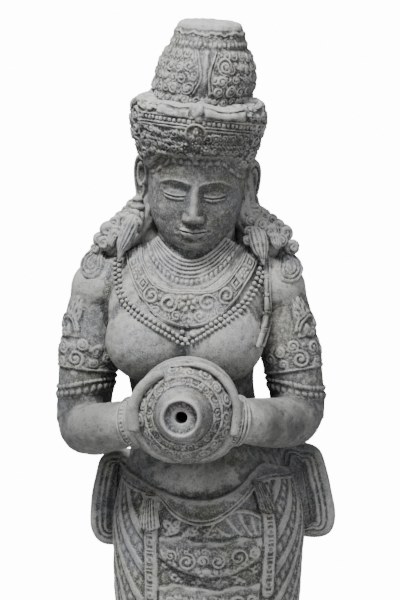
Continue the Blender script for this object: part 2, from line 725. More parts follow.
def makeFace():
    # each level is a squared half oval; the features are smooth bumps and cuts added forwards
    levels = np.linspace(-98, 58, 126)
    front = np.linspace(-1.9, 1.9, 216)
    back = np.linspace(1.9, tau - 1.9, 14)[1:-1]
    a = np.concatenate([front, back])[None, :]
    read = smoothRead(face["rows"], levels)
    half, deep = read[:, :1], read[:, 1:]
    c, s = np.cos(a), np.sin(a)
    square = squared(a, 2.15)
    x = half * s * square
    y = -np.where(c > 0, deep, 46) * c * square
    z = levels[:, None] + 0 * x
    ax = np.abs(x)
    eyes, apart = face["eyes"], face["eyeApart"]
    out = np.zeros_like(x)
    # eye hollows, fuller lids above them, and a soft brow edge
    out -= 5.0 * spot((ax - apart + 2) / 25, (z - eyes - 2) / 14)
    browLine = face["brow"] + 6.0 * np.sin(np.clip((ax - 5) / 54, 0, 1) * np.pi) - 3.5 * ramp(ax, 36, 60)
    out += 2.2 * bell(z - browLine - 1.0, 5.5) * ramp(ax, 2, 12) * ramp(-ax, -62, -44)
    out += 0.45 * ridge(z - browLine, 3.4) * ramp(ax, 6, 14) * ramp(-ax, -58, -46)
    ex, ez = ax - apart, z - eyes
    ball = np.clip(1 - (np.abs(ex) / 18.5) ** 2.4 - (np.abs(ez + 1.5) / 10.0) ** 2, 0, 1) ** 0.9
    out += 4.6 * ball
    # a full upper lid comes down to a slim slit over the lower one, with one soft fold above it
    near = ramp(-np.abs(ex), -19.5, -11)
    slit = -5.4 + 2.6 * (ex / 17) ** 2 + 0.04 * ex
    out += 1.0 * bell(ez - slit - 2.6, 2.0) * near
    out -= 2.3 * bell(ez - slit, 1.25) * near
    out += 0.7 * bell(ez - slit + 2.8, 1.8) * near
    out -= 0.9 * bell(ez - 6.4 + (ex / 19) ** 2 * 5.5, 1.7) * ramp(-np.abs(ex), -21, -12)
    # nose: a soft ridge that widens and rises to the tip, with wings that grow out of it
    nose = smoothRead(face["nose"], np.clip(z, -56, 24))
    high, wide = nose[..., 0], nose[..., 1]
    out += high * np.exp(-1.15 * np.abs(x / wide) ** 2.3)
    wing = np.clip(1 - ((ax - 10.0) / 8.2) ** 2 - ((z + 42.5) / 7.2) ** 2, 0, 1)
    out += 5.4 * wing**0.8 * ramp(ax, 3, 9)
    out -= 1.3 * spot((ax - 18.5) / 2.8, (z + 41) / 7.0)
    out -= 3.0 * spot((ax - 6.4) / 3.6, (z + 49.2) / 2.2)
    # mouth: a muzzle, two full lips, the line between them and its soft corners
    mouth = face["mouth"]
    out += 4.8 * spot(x / 34, (z - mouth) / 20)
    line = mouth + 0.0042 * x**2 - 1.2 * bell(ax, 5)
    bow = line + 5.8 - 1.6 * bell(ax, 3.2) - (ax / 22.5) ** 2 * 4.6
    upperLip = ramp(z, line, line + 1.4) * ramp(-z, -bow - 1.8, -bow + 0.6) * ramp(-ax, -23, -14)
    out += 3.4 * upperLip * (1 - 0.35 * ramp(z, line + 1, bow))
    low = line - 8.4 * dome(ax / 20)
    lowerLip = ramp(-z, -line, -line + 1.4) * ramp(z, low - 1.8, low + 1.6) * ramp(-ax, -21, -12)
    out += 4.2 * lowerLip
    out -= 2.2 * bell(z - line, 1.15) * ramp(-ax, -23.5, -18)
    out -= 1.5 * spot((ax - 24) / 4.0, (z - line + 0.5) / 4.2)
    out -= 1.0 * spot(x / 3.4, (z - mouth - 10.5) / 5.0)
    out -= 2.0 * spot(x / 17, (z - mouth + 13.5) / 4.6)
    out += 5.5 * spot(x / 20, (z - face["chin"]) / 12)
    out += 3.2 * spot((ax - 42) / 24, (z + 34) / 27)
    # hairline: a narrow beaded border that arches over the forehead
    hairLine = 43 - 25 * ramp(ax, 34, 72)
    out += 2.6 * ridge(z - hairLine, 8.5) * (0.72 + 0.28 * np.cos(x / 5.4 * np.pi + 1))
    out += 1.6 * ramp(z, hairLine + 3, hairLine + 5)
    frontness = ramp(c, 0.05, 0.55)
    # features stand out along the oval's own outward way, blended with straight ahead
    way = np.stack([0.55 * s + 0 * z, -(0.45 + 0.55 * np.clip(c, 0, 1)) + 0 * z, 0 * z], -1)
    way /= np.linalg.norm(way, axis=-1)[..., None] + 1e-9
    points = onHead(np.stack([x, y, z], -1) + way * (out * frontness)[..., None])
    finishShells("face", [tubeShell(points)], (0.28, 40, 9, 12), (0.12, 9, 4, 13))


makeFace()

ears = {"half": 39.0, "wide": 14.0, "at": (75.0, -2.0, -2.0)}


def makeEar(side, name):
    # a long leaf shape facing forwards and outwards: a rim, a hollow, an inner fold and a heavy lobe
    around, steps = 96, 26
    a = (np.arange(around) * tau / around)[:, None]
    r = np.concatenate([np.linspace(0.04, 1, steps), [1.03, 0.9, 0.5]])[None, :]
    v = ears["half"] * np.sin(a) * r
    u = ears["wide"] * np.cos(a) * r * (1 + 0.22 * np.sin(a)) + ears["wide"]
    rim = ridge(r - 0.86, 0.26) * 4.5
    hollow = -6.5 * spot((u - 13) / 7, (v - 6) / 19) * (r < 0.97)
    fold = 3.2 * ridge(np.hypot((u - 15) / 6, (v - 6) / 17) - 0.95, 0.5) * (u > 12) * (r < 0.8)
    tragus = 3.5 * spot((u - 3) / 5, (v + 4) / 7)
    lobe = 5.5 * spot((u - 12) / 12, (v + 30) / 10)
    h = (rim * (v > -30) + hollow + fold + tragus + lobe) * (r <= 1.0) + 0 * a
    deep = np.where(np.arange(r.shape[1])[None, :] >= steps, -np.array([0] * steps + [3, 9, 12])[None, :], h)
    # the leaf stands at 42 degrees to the side of the head
    c, s = math.cos(math.radians(42)), math.sin(math.radians(42))
    out, ahead = np.array((side * c, s, 0.0)), np.array((side * s, -c, 0.0))
    points = (np.array(ears["at"]) * (side, 1, 1) + u[..., None] * out
              + v[..., None] * np.array((side * 0.05, 0.0, 1.0)) + deep[..., None] * ahead)
    rings = onHead(points.transpose(1, 0, 2))
    finishShells(name, [tubeShell(rings)])


for side, name in ((-1, "earLeft"), (1, "earRight")):
    makeEar(side, name)
print("head made")


# Crown

crown = {
    "bulb": ((112, 75), (124, 76), (134, 76), (146, 76), (160, 75.5), (174, 73), (188, 69), (200, 62.5),
             (209, 57.5), (218, 54), (226, 52), (232, 50.5), (238, 48.5), (242.5, 44), (245, 33)),
    "diadem": ((22, 74), (32, 82), (40, 85), (50, 87), (60, 90), (72, 93), (82, 95), (94, 97), (102, 97.5),
               (110, 97.5), (118, 96), (124, 92), (129, 84)),
    "middle": -2.0, "depth": 1.06,
}


def frontAngles(count, dense):
    # angles round the head with 0 in front, closer together there
    even = np.linspace(-1, 1, count + 1)[:-1]
    return np.pi * (even * (1 - dense) + dense * even**3)


def turnedPoints(profile, levels, angles, depth, heights):
    # radius read from the profile, plus the carving's height
    radius = smoothRead(profile, levels)[:, 0][:, None] + heights
    s, c = np.sin(angles)[None, :], np.cos(angles)[None, :]
    lean = np.interp(levels, (60, 125, 160, 248), (-4.0, -3.0, 4.5, 7.0))[:, None]
    y, z = crown["middle"] - depth * radius * c, levels[:, None] + 0 * radius
    return np.stack([radius * s + lean, y, z], -1)


def ground(s, t, cell, height, seed):
    # low, busy ground between the larger scrolls: crossed waves of two lengths, cut to lumps
    pick = np.random.default_rng(seed)
    a, b, c, d = pick.uniform(0, tau, 4)
    u = np.sin(tau * s / cell + a + 1.3 * np.sin(tau * t / (2.3 * cell) + b))
    v = np.sin(tau * t / (0.9 * cell) + c + 1.3 * np.sin(tau * s / (2.1 * cell) + d))
    return height * np.clip(0.15 + u * v, 0, 1) ** 0.6


def makeBulb():
    # a turned bulb: rows of foliage round plain folds in front and behind, then beads and a wavy rim
    levels = np.concatenate([np.linspace(112, 239, 100), [241, 242.8, 244.2, 245]])
    angles = frontAngles(320, 0.4)
    size = 74.0
    around = tau * size
    s, t = np.meshgrid(angles * size, levels, indexing="ij")
    carve = Carving(s, t, around)
    wavy = t - 229 - 1.6 * np.sin(s / 7.4) - 0.8 * np.sin(s / 3.1)
    carve.over(2.4 * ridge(wavy, 5.5))
    carve.over(1.8 * ridge(wavy + 5.0, 4.0) * (0.6 + 0.4 * np.sin(s / 1.9)))
    carve.beads(214, 9.4, 4.5, 3.4)
    carve.over(1.2 * ramp(t, 206, 210) * ramp(-t, -224, -220))
    carve.foliage(117, 138, 12.5, 3.8, 20, -around / 2, around / 2)
    # the front and the back each have a plain fold between two ridge lines
    clearings = []
    for middle in (0.0, around / 2):
        ds = (s - middle + around / 2) % around - around / 2
        opening = 6.0 + 11.5 * np.abs(np.clip((t - 168) / 38, -1, 1)) ** 1.5
        zone = ramp(t, 138, 144) * ramp(-t, -208, -203)
        fold = bell(ds, 7.0) * 4.4 * ramp(t, 140, 168)
        lines = 3.0 * ridge(np.abs(ds) - opening, 3.6) + 1.6 * ridge(np.abs(ds) - opening - 4.6, 3.0)
        plain = (np.abs(ds) < opening) & (t > 139) & (t < 207)
        carve.over((fold * plain + lines) * zone)
        clearings.append((ds, opening))

        def clear(s0, t0, middle=middle):
            gap = abs((s0 - middle + around / 2) % around - around / 2)
            return gap > 12 + 11.5 * min(1, abs(t0 - 168) / 38) ** 1.5
        carve.foliage(140, 206, 14.5, 3.3, 21 + int(middle), middle - around / 4, middle + around / 4, clear)
    carve.spiral(31, 184, 14, 3.8, 1, 0.6, 2.4)
    carve.spiral(25, 162, 9.5, 3.6, -1, 0.0, 1.8)
    for s0 in (24, 42):
        carve.spiral(s0, 147, 8.8, 3.6, 1, 1.5, 1.9)
    carve.spiral(-22, 151, 10.5, 3.6, -1, 0.4, 2.0)
    carve.spiral(-44, 150, 8.5, 3.4, 1, 2.0, 1.8)
    low = ground(s, t, 7.0, 1.7, 25) * ramp(t, 139, 143) * ramp(-t, -207, -203)
    outside = np.min([ramp(np.abs(ds), opening + 2, opening + 6) for ds, opening in clearings], axis=0)
    carve.over(low * outside)
    heights = soften(carve.h, 1, True).T
    points = onHead(turnedPoints(crown["bulb"], levels, angles, 1.0, heights))
    finishShells("crownBulb", [tubeShell(points)], (0.7, 45, 8, 31))


def makeDiadem():
    # a flaring turned band: rows of ornament, a front medallion, scrolls over the temples, an uneven rim
    levels = np.concatenate([[22, 26, 30], np.linspace(33, 117, 76), np.linspace(118, 129, 16)])
    angles = frontAngles(370, 0.35)
    size = 98.0
    around = tau * size
    radius = smoothRead(crown["diadem"], levels)[:, 0]
    along = np.concatenate([[0], np.cumsum(np.hypot(np.diff(levels), np.diff(radius)))])
    along += 100 - np.interp(100, levels, along)
    s, t = np.meshgrid(angles * size, along, indexing="ij")
    level = np.meshgrid(angles, levels, indexing="ij")[1]
    side = np.abs(s)
    # the rows of ornament run down a little towards the viewer's right
    t = t + 5.5 * np.sin(s / size)
    carve = Carving(s, t, around)
    # a plain folded band in front of the bulb, parted in the middle; leaves cover the rest of the rim
    band = ramp(side, 9, 14) * ramp(-s, -82, -74) * ramp(s, -68, -60)
    tilt = t - 117 - 1.5 * np.sin(s / 21)
    carve.over(4.8 * ridge(tilt, 13) ** 0.6 * band)
    carve.over(3.2 * ridge(tilt - 12.5, 6.5) * band)
    carve.ball(0, 119, 10, 5.5, 1.1)
    carve.ball(3, 110, 7, 4.5)
    carve.foliage(110, 148, 13.0, 6.4, 40, 84, around / 2)
    carve.foliage(110, 148, 13.0, 6.4, 44, -around / 2, -70)
    carve.foliage(128, 148, 11.0, 3.6, 47, -66, 78)
    # a row of upright cells between ridges, then a fine bead line
    sag = t + 0.0006 * s**2
    carve.over(2.8 * ridge(sag - 110.5, 3.6))
    cells = (s % 7.4) - 3.7
    carve.over(2.9 * ((np.abs(cells) < 2.5) & (np.abs(sag - 104.8) < 3.0)))
    carve.over(3.2 * ridge(sag - 99.0, 3.2))
    carve.over(3.0 * ridge(sag - 94.6, 3.6))

    def awayFromFront(s0, t0):
        return abs(s0) > 17 or t0 < 60
    carve.foliage(75, 92, 12.0, 4.4, 41, -around / 2, around / 2, awayFromFront)
    rope = 3.2 * ridge(t - 70, 5.6) * (0.72 + 0.28 * np.sin((s / 6.5 + (t - 70) / 6) * tau))
    carve.over(rope)
    carve.foliage(56, 68, 11.5, 4.4, 43, -around / 2, around / 2, awayFromFront)
    carve.foliage(40, 56, 12.5, 4.0, 45, -around / 2, around / 2)
    # front medallion: an upright leaf flower under an arch, with three rosettes below
    pick, ds, dt = carve.near(0, 86, 22)
    rho = np.hypot(ds / 0.92, dt)
    carve.h[pick] = np.maximum(np.where(rho < 15, 2.0, carve.h[pick]), 5.2 * ridge(rho - 16, 4.0) * (dt > -7))
    for spread in (-62, -31, 31, 62):
        carve.leaf(0, 76, 16, 7.5, 90 + spread, 5.0)
    carve.leaf(0, 73, 27, 11, 90, 6.4)
    for s0, t0, radius in ((-15, 64, 8.0), (0, 70, 7.0), (15, 63, 8.0), (-8, 52, 6.0), (8, 52, 6.0)):
        carve.rosette(s0, t0, radius, 5.8, 5)
    # scroll clusters over each temple, with leaves that climb beside them
    for way in (-1, 1):
        for s0, t0, radius, hand in ((112, 98, 11, 1), (133, 88, 12.5, -1), (112, 76, 10, -1), (134, 64, 12, 1),
                                     (114, 54, 11, 1), (150, 106, 10, -1), (134, 42, 11, -1), (152, 76, 9, 1),
                                     (96, 42, 9, 1), (114, 34, 9, -1)):
            carve.spiral(way * s0, t0, radius, 6.2, way * hand, 0.8, 1.7)
        for s0, t0, turn in ((100, 62, 120), (102, 86, 100), (124, 108, 80), (156, 64, 60), (146, 92, 100),
                             (124, 74, 40)):
            carve.leaf(way * s0, t0, 22, 10, turn if way > 0 else 180 - turn, 5.6, 0.2 * way)
    carve.over(ground(s, t, 6.5, 2.0, 46) * ramp(-t, -97, -92) * ramp(np.hypot(s, t - 86), 16, 20))
    # the knob of the left rim and the upright leaf of the right one
    carve.ball(-118, 121, 13, 6.5, 0.7)
    heights = soften(carve.h, 1, True)
    swell = 3.0 * bell(side - 132, 34) * ramp(t, 36, 60) + 2.0 * bell(s, 22) * ramp(t, 50, 70)
    # the lower edge arches up in front, where it is drawn in behind the forehead
    edge = 51 - 29 * ramp(side, 60, 104)
    tuck = 14 * ramp(edge - level, -1, 5)
    heights = (heights * ramp(level - edge, -3, 2) + swell - tuck).T
    points = turnedPoints(crown["diadem"], levels, angles, crown["depth"], heights)
    # the rim's outline: a knob at the left, a raised middle, a dip, an upright leaf at the right
    rim = 6 * bell(s + 116, 13) + 5 * bell(s - 4, 9) - 4.5 * bell(s - 48, 26) + 8 * bell(s - 128, 12)
    rim += 1.3 * np.sin(s / 7.0) * np.sin(s / 19.0) - 2.5 * bell(s + 84, 14)
    points[..., 2] += (rim * ramp(level, 104, 122)).T
    points = onHead(points)
    finishShells("diadem", [tubeShell(points)], (0.8, 50, 8, 33))


makeBulb()
makeDiadem()
print("crown made")


# Jug with its spout

jug = {
    "radius": 79.0, "share": 0.96, "floor": -235.0, "bore": 8.5, "end": -125.0,
    # radius and y over the rim of the recess
    "rim": ((21.8, -235.8), (22.8, -237.4), (23.4, -239.6), (24.0, -241.8), (25.0, -243.4), (26.4, -244.0)),
    # rows of place, radius and y down the outside of the collar
    "collar": ((0, 27.8, -243.2), (1, 29.4, -240.8), (2, 31.2, -236.6), (3, 33.0, -231.6), (4, 34.8, -226.4),
               (5, 36.6, -221.0), (6, 38.2, -215.4), (7, 39.4, -210.8)),
}


def makeJug():
    # a profile of (radius, y) from the bore's end, over the recess and the round collar, then the ball
    centre = jugAt[1]
    bore = [(0.6, jug["end"])] + [(jug["bore"], y) for y in np.linspace(jug["end"], -232, 14)]
    bore += [(jug["bore"] + 0.6, -234.4), (jug["bore"] + 2.0, jug["floor"])]
    recess = [(r, jug["floor"] - 0.05 * (r - 10)) for r in np.linspace(12, 20.5, 7)]
    recess += jug["rim"]
    collar = [tuple(row) for row in smoothRead(jug["collar"], np.linspace(0, 7, 16))] + [(40.6, -208.2)]
    polar = np.concatenate([
        np.linspace(math.asin(41.5 / jug["radius"]), 1.5, 62), np.linspace(1.54, math.pi - 0.5, 12)])
    ball = [(jug["radius"] * math.sin(a), centre - jug["share"] * jug["radius"] * math.cos(a)) for a in polar]
    profile = np.array(bore + recess + collar + ball)
    step = np.hypot(*np.diff(profile, axis=0).T)
    along = np.concatenate([[0], np.cumsum(step)])
    along -= along[len(bore) + len(recess) + len(collar)]
    count, size = 280, 56.0
    angles = np.linspace(-np.pi, np.pi, count + 1)[:-1]
    s, t = np.meshgrid(angles * size, along, indexing="ij")
    carve = Carving(s, t, tau * size)
    carve.band(1.8, 2.4, 1.5)
    carve.foliage(5, 39, 9.0, 1.5, 54, -np.pi * size, np.pi * size)
    for turn in range(17):
        at, hand = (turn - 8) * tau * size / 17, 1 if turn % 2 else -1
        carve.spiral(at, 12 + 1.5 * hand, 8.0, 2.7, hand, 0.6 * turn, 1.7)
        carve.spiral(at + 8, 28 + 3 * hand, 9.5 + hand, 2.9, -hand, 1.1 * turn, 1.9)
        carve.leaf(at + 3, 21, 16, 7, 50 * hand + 90 * (turn % 3), 2.6, 0.2 * hand)
    carve.band(54.0, 2.8, 1.5)
    heights = soften(carve.h, 1, True).T
    slope = np.gradient(profile, axis=0)
    way = np.column_stack([-slope[:, 1], slope[:, 0]])
    way /= np.linalg.norm(way, axis=1)[:, None]
    way *= np.where((way[:, :1] < 0) & (np.arange(len(profile))[:, None] > 60), -1, 1)
    radius = profile[:, :1] + way[:, :1] * heights
    y = profile[:, 1:] + way[:, 1:] * heights
    points = np.stack([jugAt[0] + radius * np.sin(angles), y, jugAt[2] + radius * np.cos(angles)], -1)
    mesh = makeMesh("jug", joined([tubeShell(points)]))
    where = coordinates(mesh)
    pushed(mesh, waves(where, 0.4, 60, 12, 56) * (where[:, 1] < -150))
    finish("jug", mesh)


makeJug()
print("jug made")


# Skirt

skirt = {
    # rows of z, centre x, half width, front depth, back depth
    "rows": (
        (66, 8, 130, 112, 104), (120, 9, 122, 106, 98), (250, 12, 119, 102, 95), (400, 15, 127, 106, 98),
        (550, 18, 138, 114, 104), (650, 20, 143, 118, 108), (735, 21, 144, 116, 108), (790, 20, 131, 106, 98),
        (830, 16, 117, 98, 84),
    ),
    "middle": 12.0, "panel": 74.0, "ribbon": 88.0, "ribbonTop": 790.0, "ribbonEnds": (470, 622),
    "tiers": 9, "tier": 72.0, "tierTop": 716.0, "hem": 84.0, "seed": 61,
    # each swag's scrolls as across, down, radius, hand, and its leaves as across, turn
    "scrolls": ((-32, 35, 13.5, 1), (-9, 33, 8.5, -1), (11, 34, 11.0, 1), (40, 28, 13.5, -1),
                (-55, 27, 9.0, -1), (62, 22, 9.0, 1)),
    "swagLeaves": ((-66, 60), (-62, 110), (66, 120), (63, 60), (52, 95), (-46, 85), (-20, 20), (24, 160)),
    # the leaves in the hollow under a swag
    "gapLeaves": ((-72, 50), (-60, -40), (-48, 30), (-38, 215), (-26, 10), (-8, 190), (4, -15), (22, 170),
                  (34, -30), (46, 150), (60, 35), (70, 130)),
    # the leaves above the first swag as across, z, turn
    "crest": ((-70, 740, -45), (-62, 724, 35), (-44, 731, 205), (-38, 720, 25), (-16, 724, 185), (-10, 717, 20),
              (14, 722, 160)),
}


sash = {
    # x from the skirt's middle line, z of the lower rolled edge, z of the upper edge
    "edges": (
        (-400, 792, 806), (-230, 792, 806), (-170, 788, 804), (-140, 784, 802), (-112, 778, 797),
        (-92, 775, 790), (-64, 768, 782), (-42, 748, 776), (-12, 734, 772), (18, 737, 774), (42, 752, 782),
        (66, 772, 796), (88, 790, 812), (112, 796, 822), (140, 796, 818), (180, 793, 810), (240, 792, 806),
        (400, 792, 806),
    ),
}


def skirtSteps(count, dense):
    # angles round the skirt, closer together in front; 0 is the front, and the arc length of each
    even = np.linspace(-1, 1, count + 1)[:-1]
    angles = np.pi * (even * (1 - dense) + dense * even**3)
    many = np.linspace(-np.pi, np.pi, 4001)
    ring = ovalRing(np.array((20, 141, 116, 106.0)), 0.0, many - np.pi / 2)
    step = np.linalg.norm(np.diff(ring, axis=0), axis=1)
    length = np.concatenate([[0], np.cumsum(step)])
    length -= length[2000]
    return angles, np.interp(angles, many, length), length[-1] - length[0]


def onSkirt(angles, z, height):
    # a point of the skirt's plain form moved out by a height, level with it
    row = smoothRead(skirt["rows"], z)
    plain = ovalRing(row, z, angles - np.pi / 2)
    out = np.stack([(plain[..., 0] - row[..., 0]) / row[..., 1] ** 2, plain[..., 1] / row[..., 2] ** 2,
                    0 * plain[..., 0]], -1)
    out /= np.linalg.norm(out, axis=-1)[..., None] + 1e-9
    return plain + out * height[..., None]


def ribbonHeights(s, z, at, low, high):
    # a raised strip with a double edge, and between them circles and bars in turn
    u, half, step = s - at, 10.5, 13.5
    inside = ramp(half - np.abs(u), 0, 1.2)
    bottom = dome(np.clip((low + half - z) / half, 0, 1)) * half
    inside = np.where(z < low + half, ramp(bottom - np.abs(u), 0, 1.2), inside) * (z > low) * (z < high)
    edge = ridge(np.abs(u) - 9.0, 3.2) + 0.7 * ridge(np.abs(u) - 5.8, 1.8)
    cell = (z - low) / step
    place = (cell - np.floor(cell) - 0.5) * step
    rho = np.hypot(u, place)
    rounded = np.maximum(ridge(rho - 4.1, 2.2), 0.9 * ridge(rho, 2.8))
    bars = np.maximum(ridge(place - 2.4, 2.4), ridge(place + 2.4, 2.4)) * (np.abs(u) < 5)
    which = np.floor(cell).astype(int) % 2 == 1
    inner = np.where(which, rounded, bars) * (np.abs(u) < 5.4)
    return inside * (5.6 + 2.4 * np.maximum(edge, inner))


def carveTier(carve, tier):
    # one swag of cloth: a bulging body with a wavy top, a frieze low on it, and a leafy hollow under it
    s, z, m, half = carve.s, carve.t, skirt["middle"], skirt["panel"]
    u = s - m
    panel = ramp(half + 2 - np.abs(u), 0, 2)
    top = skirt["tierTop"] - skirt["tier"] * tier
    upper = top - 3.5 * np.sin(u / 9.5) * np.sin(u / 23 + tier) - 4 * bell(u, 40)
    lower = top - 60 + 26 * (u / half) ** 2
    body = ramp(upper - z, 0, 3.5) * ramp(z, lower - 1.5, lower + 3.5)
    bulge = 4.2 + 4.6 * ramp(upper - z, 0, 30) * bell(u, 95)
    rumple = 0.9 * np.sin(u / 5.2 + 1.2 * np.sin(z / 9.0 + tier)) * ramp(z, upper - 16, upper - 8)
    carve.over(panel * body * (bulge + rumple))
    frieze = Carving(s, z, carve.around)

    def inSwag(s0, z0):
        return z0 > top - 54 + 26 * ((s0 - m) / half) ** 2
    frieze.foliage(top - 54, top - 16, 12.0, 2.4, skirt["seed"] + 30 + tier, m - 66, m + 66, inSwag)
    for at, down, radius, hand in skirt["scrolls"]:
        frieze.spiral(m + at, top - down, radius, 5.2, hand, 0.7 + tier, 1.8)
    frieze.leaf(m - 24, top - 40, 22, 11, 200, 3.8, 0.1)
    frieze.leaf(m + 20, top - 46, 24, 11, -20, 3.8, -0.1)
    for at, way in skirt["swagLeaves"]:
        frieze.leaf(m + at, top - 36, 20, 9, way, 4.0, 0.15)
    frieze.ball(m - 4, top - 50, 7.5, 5.0, 0.8)
    for at in (-11, 2):
        frieze.ball(m + at, top - 57, 4.0, 3.6)
    for at in np.arange(-58, 60, 8.4):
        frieze.ball(m + at, top - 57 + 24 * (at / half) ** 2 + 5, 3.0, 2.6)
    carve.h += frieze.h * panel * ramp(z, lower - 8, lower)
    gap = ramp(lower - z, 0, 3) * ramp(z, top - skirt["tier"] - 1, top - skirt["tier"] + 5)
    leaves = Carving(s, z, carve.around)
    for at, way in skirt["gapLeaves"]:
        leaves.leaf(m + at, top - 66 + 16 * (at / half) ** 2, 27, 15, way, 6.0, 0.15)
    carve.h += panel * gap * (-2.2 + leaves.h + ground(s, z, 18.0, 0.3, skirt["seed"] + tier))


def carveCloth(carve):
    # slanted bands at the sides, each a plain roll and a hatched strip between lines; long folds behind
    s, z = carve.s, carve.t
    side = np.abs(s - skirt["middle"])
    beyond = np.maximum(side - skirt["ribbon"], -20)
    cell = (z - 0.85 * beyond - 0.0065 * beyond**2) / 54.0 + 0.2
    share = cell - np.floor(cell)
    plain = 2.2 * ramp(share, 0.02, 0.06) * ramp(-share, -0.46, -0.42) + 1.4 * ridge(share - 0.24, 0.40)
    lines = 1.9 * ridge(share - 0.52, 0.05) + 1.9 * ridge(share - 0.95, 0.05)
    stroke = np.abs(np.sin((side + 0.8 * z) / 5.2 + np.sin(z / 31))) ** 0.6
    hatch = 1.7 * stroke * ramp(share, 0.56, 0.60) * ramp(-share, -0.90, -0.86)
    flank = ramp(side, skirt["panel"], skirt["panel"] + 3) * ramp(-side, -225, -212)
    carve.h += flank * (plain + lines + hatch)
    fold = np.abs(np.sin((np.abs(s) - 212) / 56 * np.pi + 0.25 * np.sin(z / 90))) ** 0.8
    carve.h += ramp(side, 212, 232) * (4.5 * fold - 1.0)


def carveSkirt(s, z, around):
    # the front panel in tiers, with leaves above the first one, then the cloth beside and behind it
    carve = Carving(s, z, around)
    for tier in range(skirt["tiers"]):
        carveTier(carve, tier)
    crest = Carving(s, z, around)
    for at, up, way in skirt["crest"]:
        crest.leaf(skirt["middle"] + at, up, 27, 15, way, 5.5, 0.15)
    panel = ramp(skirt["panel"] + 2 - np.abs(s - skirt["middle"]), 0, 2)
    carve.h += crest.h * panel * ramp(z, 713, 719)
    carveCloth(carve)
    return carve


def makeSkirt():
    # the plain skirt form under its carving, ribbons, fan and hem
    levels = np.concatenate([[66, 70, 74], np.linspace(78, 552, 78), np.linspace(553.5, 815, 168)])
    angles, length, around = skirtSteps(320, 0.55)
    s, z = np.meshgrid(length, levels, indexing="ij")
    carve = carveSkirt(s, z, around)
    m = skirt["middle"]
    for side, low in zip((-1, 1), skirt["ribbonEnds"]):
        carve.over(ribbonHeights(s, z, m + side * skirt["ribbon"], low, skirt["ribbonTop"]))
    # a fan of curved cloth lines under the right end of the sash
    rho = np.hypot((s - m - 44) / 1.15, z - 714)
    way = np.arctan2(z - 700, s - m - 74)
    veins = 1 - np.abs(np.sin(11.0 * way + rho / 20)) ** 0.55
    fanned = 2.6 * ramp(44 - rho, 0, 2) + 1.7 * ridge(rho - 41, 4.0) + 2.2 * veins * ramp(38 - rho, 0, 2)
    carve.over(fanned * ramp(z, 712, 722) * (s - m < 76) * ramp(s - m, -2, 3))
    hem = ramp(-z, -118, -112) * ramp(z, skirt["hem"] - 4, skirt["hem"] + 2)
    braid = 1.4 * ridge((s % 15.0) - 7.5, 9) * (np.abs(z - 101) < 9)
    carve.over(hem * (3.2 + 2.2 * ridge(z - 114, 6) + 2.6 * ridge(z - 88, 8) + braid))
    heights = soften(carve.h, 1, True)
    # above the middle of the sash the cloth sinks under the skin
    middle = smoothRead(sash["edges"], s).mean(-1)
    sink = ramp(z, middle - 3, middle + 5)
    heights = heights * (1 - sink) - 9 * sink
    points = onSkirt(np.repeat(angles[:, None], len(levels), 1), z, heights).transpose(1, 0, 2)
    finishShells("skirt", [tubeShell(points)], (0.6, 90, 12, skirt["seed"]))


makeSkirt()
print("skirt made")


# Sash, tassels and loops

def makeSash():
    # a cloth strip round the hips: a thin rolled lower lip, a shallow trough, and an upper edge that fades
    angles, length, _ = skirtSteps(330, 0.5)
    edges = smoothRead(sash["edges"], length)
    v = np.linspace(0, 1, 27)
    z = edges[:, :1] + (edges[:, 1:] - edges[:, :1]) * v
    deep = (edges[:, 1:] - edges[:, :1])
    across = v * deep
    lip = 7.0 * dome((across - 2.8) / 3.6)
    second = 5.6 * dome((across - 8.6) / 2.6)
    share = np.clip((across - 8) / np.maximum(deep - 8, 1), 0, 1)
    trough = 5.0 - 2.6 * np.sin(share * np.pi) * ramp(deep, 14, 34)
    folds = 0.5 * np.sin(across / 3.0 + 2.2 * np.sin(length[:, None] / 46)) * ramp(across, 10, 14)
    height = np.maximum(np.maximum(lip, second), trough * ramp(across, 3, 7)) + folds
    height *= ramp(v, -0.02, 0.04) * (0.35 + 0.65 * ramp(1 - v, -0.02, 0.3))
    frontShare = bell((length[:, None] - 8) / 100, 1.0)
    bulge = 7.0 * frontShare * ramp(z, 745, 785)
    a = np.repeat(angles[:, None], len(v), 1)
    front = onSkirt(a, z, (height + 2.0) * (0.55 + 0.45 * frontShare) + bulge)
    rear = onSkirt(a, z, height * 0 - 16)
    rings = np.concatenate([front, rear[:, ::-1][:, ::3]], 1)
    # the strip closes on itself: a ring whose section is the strip's outline
    points = rings.reshape(-1, 3)
    quads = gridFaces(rings.shape[0], rings.shape[1], True, True)
    finishShells("sash", [(points, quads, np.zeros((0, 3), int))], (0.6, 60, 10, 71))


def makeTassel(name, s0, top, bottom, spread, lean, pleats):
    # a pleated end of cloth: ridges that spread downwards from a tied top
    angles, length, _ = skirtSteps(2000, 0.0)
    v = np.linspace(0, 1, 44)[:, None]
    u = np.linspace(-1, 1, 60)[None, :]
    half = 9.0 + (spread - 9.0) * v**0.8
    s = s0 + lean * v + u * half
    z = top + (bottom - top) * v + 5.0 * np.abs(u) ** 1.5 * v + 1.5 * np.sin(u * pleats * np.pi) * v
    pleat = 0.5 + 0.5 * np.cos(u * pleats * np.pi)
    height = 11.5 + 3.4 * pleat * ramp(v, 0.02, 0.2) + 0.5 * np.sin(v * 37 + u * 5)
    ends = 0.86 + 0.14 * ramp(1 - v, 0, 0.06)
    height = height * np.sqrt(np.clip(1 - 0.72 * np.abs(u) ** 5, 0, 1)) * ends + 0 * z
    a = np.interp(s, length, angles)
    shell = slabShell(onSkirt(a, z, height), onSkirt(a, z, height * 0 - 3))
    finishShells(name, [shell], (0.3, 30, 8, 73))


